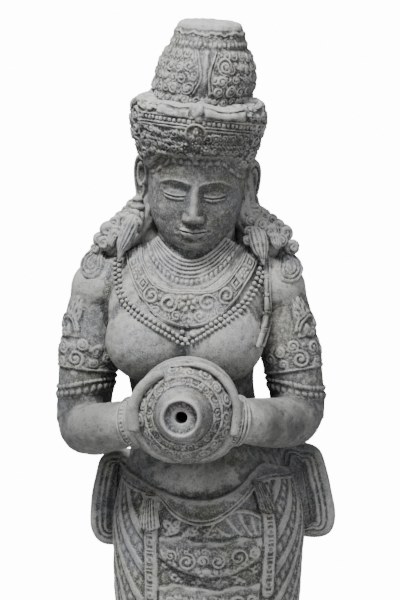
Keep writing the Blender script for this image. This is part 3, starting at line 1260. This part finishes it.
loops = {
    "left": ((-92, 818), (-118, 829), (-148, 818), (-160, 784), (-166, 736), (-164, 698), (-146, 679),
             (-108, 679), (-84, 694), (-80, 750)),
    "right": ((128, 836), (166, 842), (194, 832), (207, 792), (217, 742), (215, 710), (198, 696), (156, 696),
              (130, 710), (122, 770)),
    "at": 14.0, "deep": 17.0, "leftHollow": ((-120, 806), (-128, 706)),
    "rightHollow": ((166, 812), (182, 720)),
}


def makeLoop(name, outline, hollow, seed):
    # the folded bow of cloth: nested ridges follow its outline round a long dark hollow
    corners = np.array(outline, float)
    closed = np.concatenate([corners[-3:], corners, corners[:3]])
    at = np.linspace(0, len(corners), 191)[:-1]
    ring = smoothRead(np.column_stack([np.arange(-3, len(corners) + 3), closed]), at)
    # each outline point runs in to the nearest place of the hollow's middle line
    start, end = np.array(hollow, float)
    share = np.clip((ring - start) @ (end - start) / ((end - start) @ (end - start)), 0.0, 1.0)
    target = start + share[:, None] * (end - start)
    inward = np.linspace(1, 0.0, 44)[:, None]
    away = np.linalg.norm(ring - target, axis=1)[None, :]
    gap = (1 - inward) * away
    flute = -1.6 * bell(gap - 13.5, 2.8) - 1.3 * bell(gap - 22.0, 2.6) + 0.8 * bell(gap - 18.0, 2.6)
    rounded = loops["deep"] * dome(np.clip(1 - gap / 10, 0, 1))
    front = rounded + flute - 4.5 * ramp(gap, 27, 34) + 0.8 * bell(gap - 26, 2.4)
    back = loops["deep"] * 0.9 * dome(np.clip(1 - gap / 14, 0, 1))
    place = target + (ring - target)[None] * inward[..., None]
    ahead = np.stack([place[..., 0], loops["at"] - front, place[..., 1]], -1)
    behind = np.stack([place[..., 0], loops["at"] + back, place[..., 1]], -1)[1::2]
    finishShells(name, [tubeShell(np.concatenate([ahead[::-1], behind]))], (0.7, 90, 35, seed))


makeSash()
makeTassel("tasselLeft", -81, 776, 724, 17, 4, 7)
makeTassel("tasselRight", 88, 800, 750, 15, 12, 6)
makeLoop("loopLeft", loops["left"], loops["leftHollow"], 81)
makeLoop("loopRight", loops["right"], loops["rightHollow"], 82)
print("sash made")


# Feet and base

feet = {
    # where each foot stands, and its toes as across, reach forwards, radius
    "x": (-38, 54), "toes": ((0, 158, 10.5), (13, 157, 8.5), (22, 151, 8), (30, 144, 7.5), (36, 135, 7)),
}


def makeFeet():
    # a ball for each instep and one for each toe, fused
    rings = []
    for x in feet["x"]:
        side = 1 if x > 0 else -1
        rings.append(ballRings((x, -95, 84), (30, 62, 26), turnAbout("z", -4 * side)))
        for across, reach, r in feet["toes"]:
            at = (x - side * 14 + side * across, -reach, 77.5)
            rings.append(ballRings(at, (r * 0.86, r * 1.5, r * 0.9), around=24, levels=14))
    finish("feet", fused("feet", rings, 3.6, 0.5, 5))


base = {"half": (200, 190), "top": 70, "power": 11}


def makeBase():
    # a low block with worn edges: squared rings up its sides, then closing rings over top and bottom
    angles = np.arange(176) * tau / 176
    c, s, power = np.cos(angles), np.sin(angles), base["power"]
    reach = (np.abs(c / base["half"][0]) ** power + np.abs(s / base["half"][1]) ** power) ** (-1 / power)
    rows = [(0.04, 0), (0.35, 0), (0.65, 0), (0.9, 0), (0.975, 0), (0.99, 2.5), (0.995, 6)]
    rows += [(1.0, z) for z in np.linspace(10, 58, 17)] + [(0.997, 63), (0.988, 67.5), (0.972, 69.6)]
    rows += [(share, base["top"]) for share in np.linspace(0.95, 0.03, 14)]
    share, z = np.array(rows, float).T[:, :, None]
    rings = np.stack([share * reach * c, share * reach * s, z + 0 * reach], -1)
    mesh = makeMesh("base", joined([tubeShell(rings)]))
    where = coordinates(mesh)
    rough = waves(where, 1.0, 160, 50, 91) + waves(where, 0.3, 30, 14, 92)
    pushed(mesh, (rough - 1.0) * ramp(where[:, 2], 1.0, 6))
    finish("base", mesh, 7)


makeFeet()
makeBase()
print("base made")


# Jewels laid on the skin

def onSkin(x, z, height):
    # a point of the body's front at x and z, moved out along the skin's own direction
    y = skinDepth.read(x, z)
    gap = 3.0
    sideways = (skinDepth.read(x + gap, z) - skinDepth.read(x - gap, z)) / (2 * gap)
    upward = (skinDepth.read(x, z + gap) - skinDepth.read(x, z - gap)) / (2 * gap)
    out = np.stack([sideways, -np.ones_like(y), upward], -1)
    out /= np.linalg.norm(out, axis=-1)[..., None]
    return np.stack([x, y, z], -1) + out * height[..., None]


def hang(t, half, top, bottom, power):
    # a hanging line: x grows evenly with t and z rises as |t| to a power
    return chestCentre + 9 + half * t, bottom + (top - bottom) * np.abs(t) ** power


def hungSlab(name, edges, columns, rows, draw, thick, seed):
    # a collar between hanging lines; draw carves it in arc length along and mm across
    t = np.linspace(-1, 1, columns)[:, None]
    v = np.linspace(0, 1, rows)[None, :]
    row = smoothRead(edges, v[0])
    x, z = hang(t, row[None, :, 0], row[None, :, 1], row[None, :, 2], row[None, :, 3])
    middle = np.stack([x[:, rows // 2], z[:, rows // 2]], -1)
    along = np.concatenate([[0], np.cumsum(np.linalg.norm(np.diff(middle, axis=0), axis=1))])
    along -= along[columns // 2]
    wide = np.hypot(np.diff(x, axis=1), np.diff(z, axis=1))
    across = np.concatenate([np.zeros((columns, 1)), np.cumsum(wide, axis=1)], 1)
    carve = Carving(np.repeat(along[:, None], rows, 1), across)
    draw(carve, across[:, -1:])
    edge = np.minimum(np.minimum(across, across[:, -1:] - across), 6.0)
    rounded = thick * dome(1 - edge / 6.0)
    front = onSkin(x, z, soften(carve.h, 1) + rounded)
    shell = slabShell(front, onSkin(x, z, -6.0 + 0 * x))
    finishShells(name, [shell], (0.3, 40, 8, seed))


def drawCollar(carve, wide):
    # four thin smooth rolls, then a row of beads outside a thin line
    share = carve.t / wide
    for at in (0.05, 0.19, 0.33, 0.47):
        carve.over(2.6 * ridge(share - at, 0.115))
    step = 7.0
    place = (carve.s % step) - step / 2
    bead = np.sqrt(np.clip(1 - (place / 3.4) ** 2 - ((share - 0.79) * wide / 3.9) ** 2, 0, 1))
    carve.over(5.6 * bead)
    carve.over(1.8 * ridge(share - 0.61, 0.07))


def drawBreast(carve, wide):
    # double edge lines, a flower and scrolls in the middle, squares and rounds up the sides
    s, t = carve.s, carve.t
    for at in (2.6, 6.4):
        carve.over(2.6 * ridge(t - at, 3.0))
    carve.over(1.6 * ridge(wide - t - 6.2, 2.2))
    carve.foliage(10, 44, 9.5, 3.0, 107, -72, 72)
    carve.h *= ramp(wide - t, 4, 6)
    carve.over(2.8 * ridge(wide - t - 2.4, 3.4))
    carve.rosette(0, 22, 14.5, 6.0, 6, 0.5)
    carve.leaf(0, 35, 23, 18, 90, 6.0)
    for side in (-1, 1):
        carve.spiral(side * 31, 23, 15.0, 5.6, side, 0.4, 1.5)
        carve.spiral(side * 18, 41, 8.0, 4.8, -side, 0.0, 1.3)
        carve.spiral(side * 60, 21, 13.0, 5.4, -side, 2.2, 1.5)
        carve.spiral(side * 46, 38, 7.0, 4.4, side, 0.0, 1.3)
        carve.leaf(side * 33, 37, 14, 9, 90 + side * 30, 4.2)
        carve.leaf(side * 72, 30, 16, 9, 90 - side * 40, 3.8)
        for cell in range(5):
            at = side * (81 + 16.5 * cell)
            pick, ds, dt = carve.near(at, 17, 13)
            if cell % 2:
                carve.rosette(at, 17, 7.6, 4.2, 6)
            else:
                box = np.maximum(np.abs(ds), np.abs(dt))
                carve.put(pick, 3.8 * ridge(box - 5.4, 3.0))
                carve.put(pick, 3.6 * np.clip(1 - (box / 3.0) ** 4, 0, 1) ** 0.5)
            carve.over(2.4 * ridge(s - at - side * 8.3, 2.6) * (t > 8) * (t < wide - 7))


collarEdges = ((0, 50, 1164, 1129, 2.0), (0.3, 57, 1157, 1117, 2.1), (0.6, 64, 1150, 1104, 2.2),
               (1, 73, 1143, 1084, 2.4))
breastEdges = ((0, 78, 1148, 1085, 4.0), (0.5, 90, 1140, 1059, 3.1), (1, 104, 1132, 1029, 2.4))
hungSlab("collar", collarEdges, 190, 40, drawCollar, 3.0, 101)
hungSlab("breastplate", breastEdges, 330, 44, drawBreast, 3.6, 102)


def alongCurve(points, step):
    # evenly spaced places on a smooth curve through (x, z) points
    points = np.array(points, float)
    at = np.linspace(0, len(points) - 1, 900)
    fine = smoothRead(np.column_stack([np.arange(len(points)), points]), at)
    length = np.concatenate([[0], np.cumsum(np.linalg.norm(np.diff(fine, axis=0), axis=1))])
    count = max(2, round(length[-1] / step))
    even = np.linspace(0, length[-1], count)
    place = np.stack([np.interp(even, length, fine[:, k]) for k in range(2)], -1)
    way = np.gradient(place, axis=0)
    return place, way / np.linalg.norm(way, axis=1)[:, None]


chestLine = ((-114, 1140), (-113, 1116), (-107, 1092), (-95, 1070), (-75, 1053), (-52, 1039), (-30, 1026),
             (-8, 1012), (12, 1020), (34, 1034), (57, 1048), (78, 1066), (93, 1090), (102, 1114), (104, 1136))


def makeBeads(name, rows, radius, seed):
    # beads sunk a third into the skin, each a squashed ball with its own small turn
    pick = np.random.default_rng(seed)
    shells = []
    for line, shift, size in rows:
        place, way = alongCurve(line, 2 * radius * size * 0.98)
        across = np.stack([-way[:, 1], way[:, 0]], -1)
        place = place + across * shift
        centres = onSkin(place[:, 0], place[:, 1], np.full(len(place), radius * size * 0.45))
        for centre in centres:
            r = radius * size * pick.uniform(0.92, 1.06)
            radii = (r, r, r * pick.uniform(0.9, 1.08))
            shells.append(tubeShell(ballRings(centre, radii, around=14, levels=9)))
    finishShells(name, shells)


chestDrop = ((-10, 1022), (-2, 1010), (6, 1020))
makeBeads("chestStrings", [(chestLine, 0.0, 1.0), (chestLine, -7.4, 0.88), (chestDrop, 0.0, 1.15)], 3.8, 103)


strap = {
    "line": ((109, 1130), (114, 1110), (115, 1080), (114, 1050), (110, 1022), (104, 1000)),
    "width": 12, "thick": 2.6,
}


def makeStrap():
    # a strip down a line on the skin: long segments parted by pairs of short rings, beside a plain cord
    step = 1.5
    place, way = alongCurve(strap["line"], step)
    v = np.linspace(-1, 1, 14)[None, :]
    across = np.stack([-way[:, 1], way[:, 0]], -1)
    x = place[:, :1] + across[:, :1] * v * strap["width"] / 2
    z = place[:, 1:] + across[:, 1:] * v * strap["width"] / 2
    cell = (np.arange(len(place))[:, None] * step % 26) / 26
    cord = 2.4 * ridge(v - 0.66, 0.55)
    part = 2.4 * ridge(v + 0.34, 0.9) * (0.45 + 0.55 * ramp(cell, 0.18, 0.26)) * (1 - ramp(cell, 0.94, 1.0))
    ring = 2.8 * (ridge(cell - 0.05, 0.08) + ridge(cell - 0.14, 0.08)) * (v < 0.3)
    height = (strap["thick"] * dome(v, 4) + np.maximum(np.maximum(cord, part), ring)) + 0 * x
    finishShells("strap", [slabShell(onSkin(x, z, height), onSkin(x, z, -5.0 + 0 * x))], (0.3, 40, 8, 104))


makeStrap()


def makeDisc(name, centre, radius, turns, hand, tail, seed):
    # the shoulder ornament: a spiral boss whose outline runs up to a tail of parallel lines
    rho = np.linspace(0.03, 1, 46)[:, None]
    phi = (np.arange(120) * tau / 120)[None, :]
    stretch = 1 + 1.25 * np.exp(-((np.arctan2(np.sin(phi - tail), np.cos(phi - tail)) / 0.42) ** 2))
    x = centre[0] + radius * rho * np.cos(phi) * stretch
    z = centre[1] + radius * rho * np.sin(phi) * 1.08 * stretch
    phase = rho * turns - hand * (phi - tail) / tau
    coil = 3.0 * np.abs(np.sin(phase * np.pi)) ** 0.75 * ramp(rho, 0.10, 0.22)
    boss = 3.4 * dome(rho / 0.2)
    height = 1.8 * dome(rho, 4) + 0.72 * np.maximum(coil, boss) * ramp(-rho, -1.0, -0.93)
    front = onSkin(x, z, height)
    behind = onSkin(x[-1:], z[-1:], np.full_like(x[-1:], -6.0))
    finishShells(name, [tubeShell(np.concatenate([front, behind]))], (0.5, 30, 8, seed))


makeDisc("shoulderDiscLeft", (-157, 1119), 20, 3.5, -1, 1.15, 105)
makeDisc("shoulderDiscRight", (147, 1113), 20, 3.5, 1, 1.95, 106)


# Armlets and bracelets: sleeves round the arm

sleeveSize = 43.0  # the radius that turns a sleeve's angle into mm


def makeSleeve(name, arm, fromTo, steps, around, draw, frontAt, seed, lift=0.0):
    # rings round the arm's own spine with a carved height; angles start at the front of the arm
    *frames, at = tubeFrame(arms[arm], 40, arms["side"])
    keep = (at >= fromTo[0]) & (at <= fromTo[1])
    frames = [values[keep].reshape(keep.sum(), -1) for values in frames]
    length = np.concatenate([[0], np.cumsum(np.linalg.norm(np.diff(frames[0], axis=0), axis=1))])
    even = np.linspace(0, length[-1], steps)
    centre, across, up, wide, high = [
        np.stack([np.interp(even, length, column) for column in values.T], -1) for values in frames]
    angles = np.linspace(-np.pi, np.pi, around + 1)[:-1]
    s, t = np.meshgrid(angles * sleeveSize, even, indexing="ij")
    carve = Carving(s, t, tau * sleeveSize)
    draw(carve, even[-1])
    heights = soften(carve.h, 1, True).T + lift
    heights *= np.minimum(1, np.minimum(even, even[-1] - even) / 2.5 + 0.02)[:, None]
    a = angles + frontAt
    points = (centre[:, None] + across[:, None] * ((wide + heights) * np.cos(a))[..., None]
              + up[:, None] * ((high + heights) * np.sin(a))[..., None])
    finishShells(name, [tubeShell(points)], (0.35, 40, 8, seed))


armlet = {
    # lean, length and height of the stacked leaf's blades
    "blades": ((0, 52, 6.2), (-5, 38, 5.4), (5, 38, 5.4), (-9, 25, 4.6), (9, 25, 4.6)),
    # scrolls as across, t, radius, hand, and leaves as across, t, turn
    "scrolls": ((-6, 85, 9.5, 1), (2, 106, 14.0, -1), (27, 93, 11.0, 1), (-27, 92, 8.5, -1), (-24, 110, 8.0, 1),
                (29, 114, 8.5, -1), (-44, 100, 9.5, 1), (51, 100, 10.0, -1)),
    "leaves": ((-15, 84, 60), (12, 82, 110), (-34, 82, 120), (42, 82, 60), (18, 116, 20), (-14, 117, 160)),
}


def drawArmlet(side):
    # the two armlets mirror each other across the figure
    def draw(carve, length):
        # t runs down the arm: a stacked leaf, hood arches, scrolls, a lower edge, then strings of beads
        g = side * 33 + 2
        for lean, long, high in armlet["blades"]:
            carve.leaf(g + lean, 52, long, 10, -90 + lean, high)
        g = side * 43 + 2
        pick, ds, dt = carve.near(g, 72, 48)
        rho = np.hypot(ds * 1.15, dt)
        for radius in (31, 25.5):
            carve.put(pick, 4.8 * ridge(rho - radius - 1.2 * np.sin(ds / 5), 3.8) * ramp(-dt, 4, 10))
        carve.put(pick, 1.6 * ramp(30 - rho, 0, 2) * (dt < 2))
        for spread in (-48, -20, 20, 48):
            carve.leaf(g, 76, 22, 10, -90 + spread, 5.2)
        carve.ball(g - side * 8, 62, 5.5, 4.8, 1.4)
        carve.ball(g + side * 12, 58, 5.5, 4.6, 1.4)
        f = side * 14 + 1
        for across, t, radius, hand in armlet["scrolls"]:
            carve.spiral(f + side * across, t, radius, 5.0, side * hand, 0.9, 2.0)
        for across, t, way in armlet["leaves"]:
            carve.leaf(f + side * across, t, 15, 8, way, 4.2)
        low = 124 - 3 * np.cos(carve.s / sleeveSize)
        carve.over(3.6 * ridge(carve.t - low, 4.2))
        carve.foliage(78, 120, 14.5, 3.6, 111 + side, 62, 208)
        body = ramp(carve.t, 76, 88) * ramp(-carve.t, -low - 2, -low)
        carve.over(body * (1.2 + ground(carve.s, carve.t, 6.5, 1.6, 113)))
        # two slanted strings of beads, each under a plain strip
        slant = side * 13 * np.sin(carve.s / sleeveSize)
        for at, radius, power in ((146, 3.4, 4.0), (157, 4.8, 2.4)):
            carve.beads(at + slant, 2.15 * radius, radius, 3.4, power)
            carve.over(1.2 * ridge(carve.t - at - slant - radius - 1.8, 2.4))
    return draw


def drawBracelet(carve, length):
    # thin rings on both sides of a row of round cells
    for at in (2.4, 6.2, 10.0, length - 2.4):
        carve.band(at, 3.0, 3.4)
    carve.beads(length - 6.8, 7.4, 3.5, 4.6)
    carve.shelf(2, length - 2, 1.4, 1.5)


for side, name in ((-1, "Left"), (1, "Right")):
    makeSleeve("armlet" + name, name.lower(), (0.32, 3.92), 128, 156, drawArmlet(side), -np.pi / 2,
               120 + side)
    wrist = (7.1, 7.6) if side < 0 else (7.25, 7.95)
    makeSleeve("bracelet" + name, name.lower(), wrist, 30, 130, drawBracelet, 0.0, 130 + side, 1.8)
print("jewels made")


# Hair and ear drops

def strandTube(spine, strands, side=(0, 1, 0), around=44, steps=10, twist=0.6, rise=0.11):
    # a lock: a tube whose section waves into strands that turn slowly along it
    centre, across, up, wide, high, at = tubeFrame(spine, steps, side)
    angles = (np.arange(around) * tau / around)[None, :]
    wave = 1 + rise * np.abs(np.cos((angles + twist * at[:, None] / max(at)) * strands / 2)) ** 0.7
    taper = np.sqrt(np.clip(1 - (at / max(at)) ** 8, 0.02, 1))[:, None]
    return (centre[:, None] + across[:, None] * (wide[:, None] * wave * taper * np.cos(angles))[..., None]
            + up[:, None] * (high[:, None] * wave * taper * np.sin(angles))[..., None])


def curl(centre, radius, hand=1, turn=0.0, turns=1.6, tilt=0.0, deep=0.8):
    # a ball facing forwards with a spiral groove on its front
    polar = np.linspace(0.03, np.pi - 0.03, 26)[:, None]
    phi = (np.arange(40) * tau / 40)[None, :]
    rho = np.minimum(polar / (np.pi / 2), 1.0)
    phase = rho * turns - (phi * hand + turn) / tau
    off = np.abs(phase - np.floor(phase) - 0.5)
    groove = 0.20 * ramp(off, 0.22, 0.5) * ramp(rho, 0.12, 0.3) * ramp(-polar, -np.pi * 0.72, -np.pi * 0.5)
    hole = 0.28 * bell(polar / 0.42, 1.0)
    r = radius * (1 - groove - hole)
    level = r * np.sin(polar)
    local = np.stack([level * np.cos(phi), -deep * r * np.cos(polar), level * np.sin(phi)], -1)
    return local @ turnAbout("z", tilt).T + np.array(centre, float)


hair = {
    # curls as x, y, z, radius; the first of each side lie by the ear and the last on the shoulder
    "left": (
        (-95, -2, 1208, 12), (-91, -14, 1196, 12), (-105, 0, 1198, 11), (-92, -22, 1181, 13),
        (-105, -18, 1187, 12), (-114, 2, 1191, 11), (-120, -8, 1181, 13), (-132, -8, 1171, 15),
        (-118, -22, 1166, 12), (-146, -4, 1157, 12), (-152, -2, 1143, 10), (-137, -18, 1152, 11),
        (-96, -24, 1163, 11), (-106, -24, 1152, 10),
    ),
    "right": (
        (84, -2, 1209, 11), (92, -4, 1197, 11), (101, 0, 1201, 9), (108, 0, 1195, 9), (117, -2, 1188, 10),
        (127, -4, 1179, 11), (138, -4, 1168, 13), (149, -4, 1147, 12), (103, -18, 1180, 12),
        (118, -18, 1170, 12), (87, -18, 1187, 8), (87, -22, 1171, 9), (84, -26, 1158, 8),
        (133, -18, 1157, 10), (97, -20, 1166, 9),
    ),
    "locks": (
        ((-92, -18, 1192, 7, 8), (-98, -28, 1176, 10, 10), (-105, -37, 1156, 9, 9), (-110, -43, 1140, 5, 6),
         (-112, -46, 1128, 2, 3)),
        ((-118, -12, 1174, 7, 8), (-125, -27, 1158, 7, 7), (-126, -34, 1146, 3, 4)),
        ((92, -20, 1174, 8, 8), (98, -30, 1161, 12, 10), (103, -37, 1147, 11, 8), (107, -41, 1132, 6, 6),
         (109, -44, 1120, 2, 3)),
        ((120, -12, 1172, 7, 8), (127, -27, 1156, 7, 7), (129, -35, 1143, 3, 4)),
    ),
    "fall": (
        (6, 10, 1330, 70, 66), (5, 20, 1290, 82, 64), (4, 30, 1240, 84, 56), (2, 36, 1190, 78, 48),
        (-3, 50, 1130, 74, 40), (-6, 66, 1080, 60, 30), (-8, 74, 1040, 42, 22), (-8, 76, 1010, 12, 10),
    ),
}


def makeHair():
    # curls by the neck and on the shoulders, hanging locks, and the long fall down the back
    pick = np.random.default_rng(140)
    for name, side in (("left", -1), ("right", 1)):
        shells = []
        for index, (x, y, z, r) in enumerate(hair[name]):
            hand = side * (1 if index % 2 else -1)
            twisted = curl((x, y, z), r * 1.08, hand, pick.uniform(0, tau), pick.uniform(1.3, 1.9),
                           side * pick.uniform(0, 24), 0.95)
            shells.append(tubeShell(twisted))
        finishShells("curls" + name.title(), shells, (0.6, 30, 6, 141))
    rings = []
    for x in (-66, 66):
        rings.append(strandTube([(4 + x, 16, 1262, 18, 26), (x * 1.16, 14, 1205, 22, 28),
                                 (x * 1.5, 10, 1168, 24, 28), (-8 + x * 1.95, 6, 1126, 22, 26)], 12))
    shells = [tubeShell(r) for r in rings]
    for spine in hair["locks"]:
        shells.append(tubeShell(strandTube(spine, 11, around=66, steps=9, rise=0.24)))
    for x in (-74, 82):
        shells.append(tubeShell(ballRings((x, 24, 1164), (22, 28, 34))))
    finishShells("locks", shells, (0.5, 30, 8, 142))
    # back fall: one broad tube whose back is cut into long strands
    centre, across, up, wide, deep, at = tubeFrame(hair["fall"], 9, (0, 1, 0))
    angles = (np.arange(130) * tau / 130)[None, :]
    strand = 5.0 * np.abs(np.sin(angles * 9 + 0.8 * np.sin(at[:, None] * 1.4))) ** 0.75
    points = (centre[:, None] + across[:, None] * ((wide[:, None] - 3 + strand) * np.cos(angles))[..., None]
              + up[:, None] * ((deep[:, None] - 3 + strand) * np.sin(angles))[..., None])
    finishShells("backHair", [tubeShell(points)], (0.6, 60, 10, 143))


def makeEarDrop(side, name):
    # a turned drop under the lobe: knob, flower cup and a long fluted point
    rows = ((-88, 2.5), (-84, 4.5), (-76, 8.5), (-66, 11.5), (-58, 12.0), (-52, 9.5), (-50, 8.0), (-47, 10.5),
            (-43, 11.0), (-40, 8.5), (-37, 7.0), (-33, 8.5), (-29, 6.0))
    levels = np.linspace(-88, -29, 60)
    angles = (np.arange(56) * tau / 56)[None, :]
    radius = smoothRead(rows, levels)
    flute = 1 + 0.12 * np.abs(np.cos(angles * 4)) * ramp(-levels[:, None], 48, 54)
    x = side * 88 + side * 0.04 * (levels[:, None] + 60) + radius * flute * np.sin(angles)
    y = -4 - 0.8 * radius * flute * np.cos(angles)
    points = onHead(np.stack([x, y, levels[:, None] + 0 * x], -1))
    finishShells(name, [tubeShell(points)])


makeHair()
makeEarDrop(-1, "earDropLeft")
makeEarDrop(1, "earDropRight")
print("hair made")


# Camera and studio

camera = {
    "target": (0.00773, 0.0, 1.064), "azimuth": 5.0, "distance": 2.8, "height": 1.25, "across": 0.001546,
}


def makeCamera():
    # stands at an azimuth and a height; its lens gives a set width in metres to each pixel at the target
    target = np.array(camera["target"])
    a = math.radians(camera["azimuth"])
    reach = camera["distance"]
    eye = np.array((target[0] + reach * math.sin(a), -reach * math.cos(a), camera["height"]))
    ahead = target - eye
    far = float(np.linalg.norm(ahead))
    ahead /= far
    right = np.cross(ahead, (0, 0, 1))
    right /= np.linalg.norm(right)
    up = np.cross(right, ahead)
    data = bpy.data.cameras.new("view")
    data.sensor_fit, data.sensor_height = "VERTICAL", 36.0
    data.lens = 36.0 * far / (600 * camera["across"])
    data.clip_end = 50
    view = bpy.data.objects.new("view", data)
    turn = mathutils.Matrix((right, up, -ahead)).transposed()
    view.matrix_world = mathutils.Matrix.Translation(eye) @ turn.to_4x4()
    bpy.context.scene.collection.objects.link(view)
    bpy.context.scene.camera = view


lights = {
    # place, what it is aimed at, size, power
    "key": ((-0.75, -1.3, 3.6), (0, 0, 1.3), 0.8, 190), "fill": ((1.8, -2.6, 1.0), (0.1, 0, 0.70), 1.6, 22),
    "top": ((0.1, -1.1, 2.7), (0, 0, 1.5), 0.7, 20), "rear": ((-0.6, 2.6, 2.2), (0, 0, 1.0), 1.8, 26),
}


def makeLight(name, at, aim, size, power):
    # a round lamp turned to what it is aimed at
    data = bpy.data.lights.new(name, "AREA")
    data.shape, data.size, data.energy = "DISK", size, power
    lamp = bpy.data.objects.new(name, data)
    way = mathutils.Vector(aim) - mathutils.Vector(at)
    lamp.matrix_world = mathutils.Matrix.Translation(at) @ way.to_track_quat("-Z", "Y").to_matrix().to_4x4()
    bpy.context.scene.collection.objects.link(lamp)


def makeStudio():
    # a pale round floor, a white backdrop that only the camera sees, a dim even light and the lamps
    around = np.arange(72) * tau / 72
    ring = np.stack([1900 * np.cos(around), 1900 * np.sin(around), 0 * around], -1)
    points = np.concatenate([ring, [[0, 0, 0]]])
    disc = makeMesh("floor", (points, np.zeros((0, 4), int), fan(np.arange(72), 72)))
    floor = bpy.data.objects.new("floor", disc)
    paint = bpy.data.materials.new("paleFloor")
    paint.use_nodes = True
    shader = paint.node_tree.nodes["Principled BSDF"]
    shader.inputs["Base Color"].default_value = (0.78, 0.78, 0.77, 1)
    shader.inputs["Roughness"].default_value = 0.9
    floor.data.materials.append(paint)
    bpy.context.scene.collection.objects.link(floor)
    world = bpy.data.worlds.new("studio")
    world.use_nodes = True
    bpy.context.scene.world = world
    tree = world.node_tree
    seen = tree.nodes["Background"]
    seen.inputs["Color"].default_value = (1, 1, 1, 1)
    seen.inputs["Strength"].default_value = 14.0
    lit = tree.nodes.new("ShaderNodeBackground")
    lit.inputs["Color"].default_value = (0.93, 0.96, 1.0, 1)
    lit.inputs["Strength"].default_value = 0.25
    path, mix = tree.nodes.new("ShaderNodeLightPath"), tree.nodes.new("ShaderNodeMixShader")
    tree.links.new(path.outputs["Is Camera Ray"], mix.inputs[0])
    tree.links.new(lit.outputs[0], mix.inputs[1])
    tree.links.new(seen.outputs[0], mix.inputs[2])
    tree.links.new(mix.outputs[0], tree.nodes["World Output"].inputs[0])
    for name, settings in lights.items():
        makeLight(name, *settings)


makeCamera()
makeStudio()
print("triangles in all", sum(triangleCount.values()))
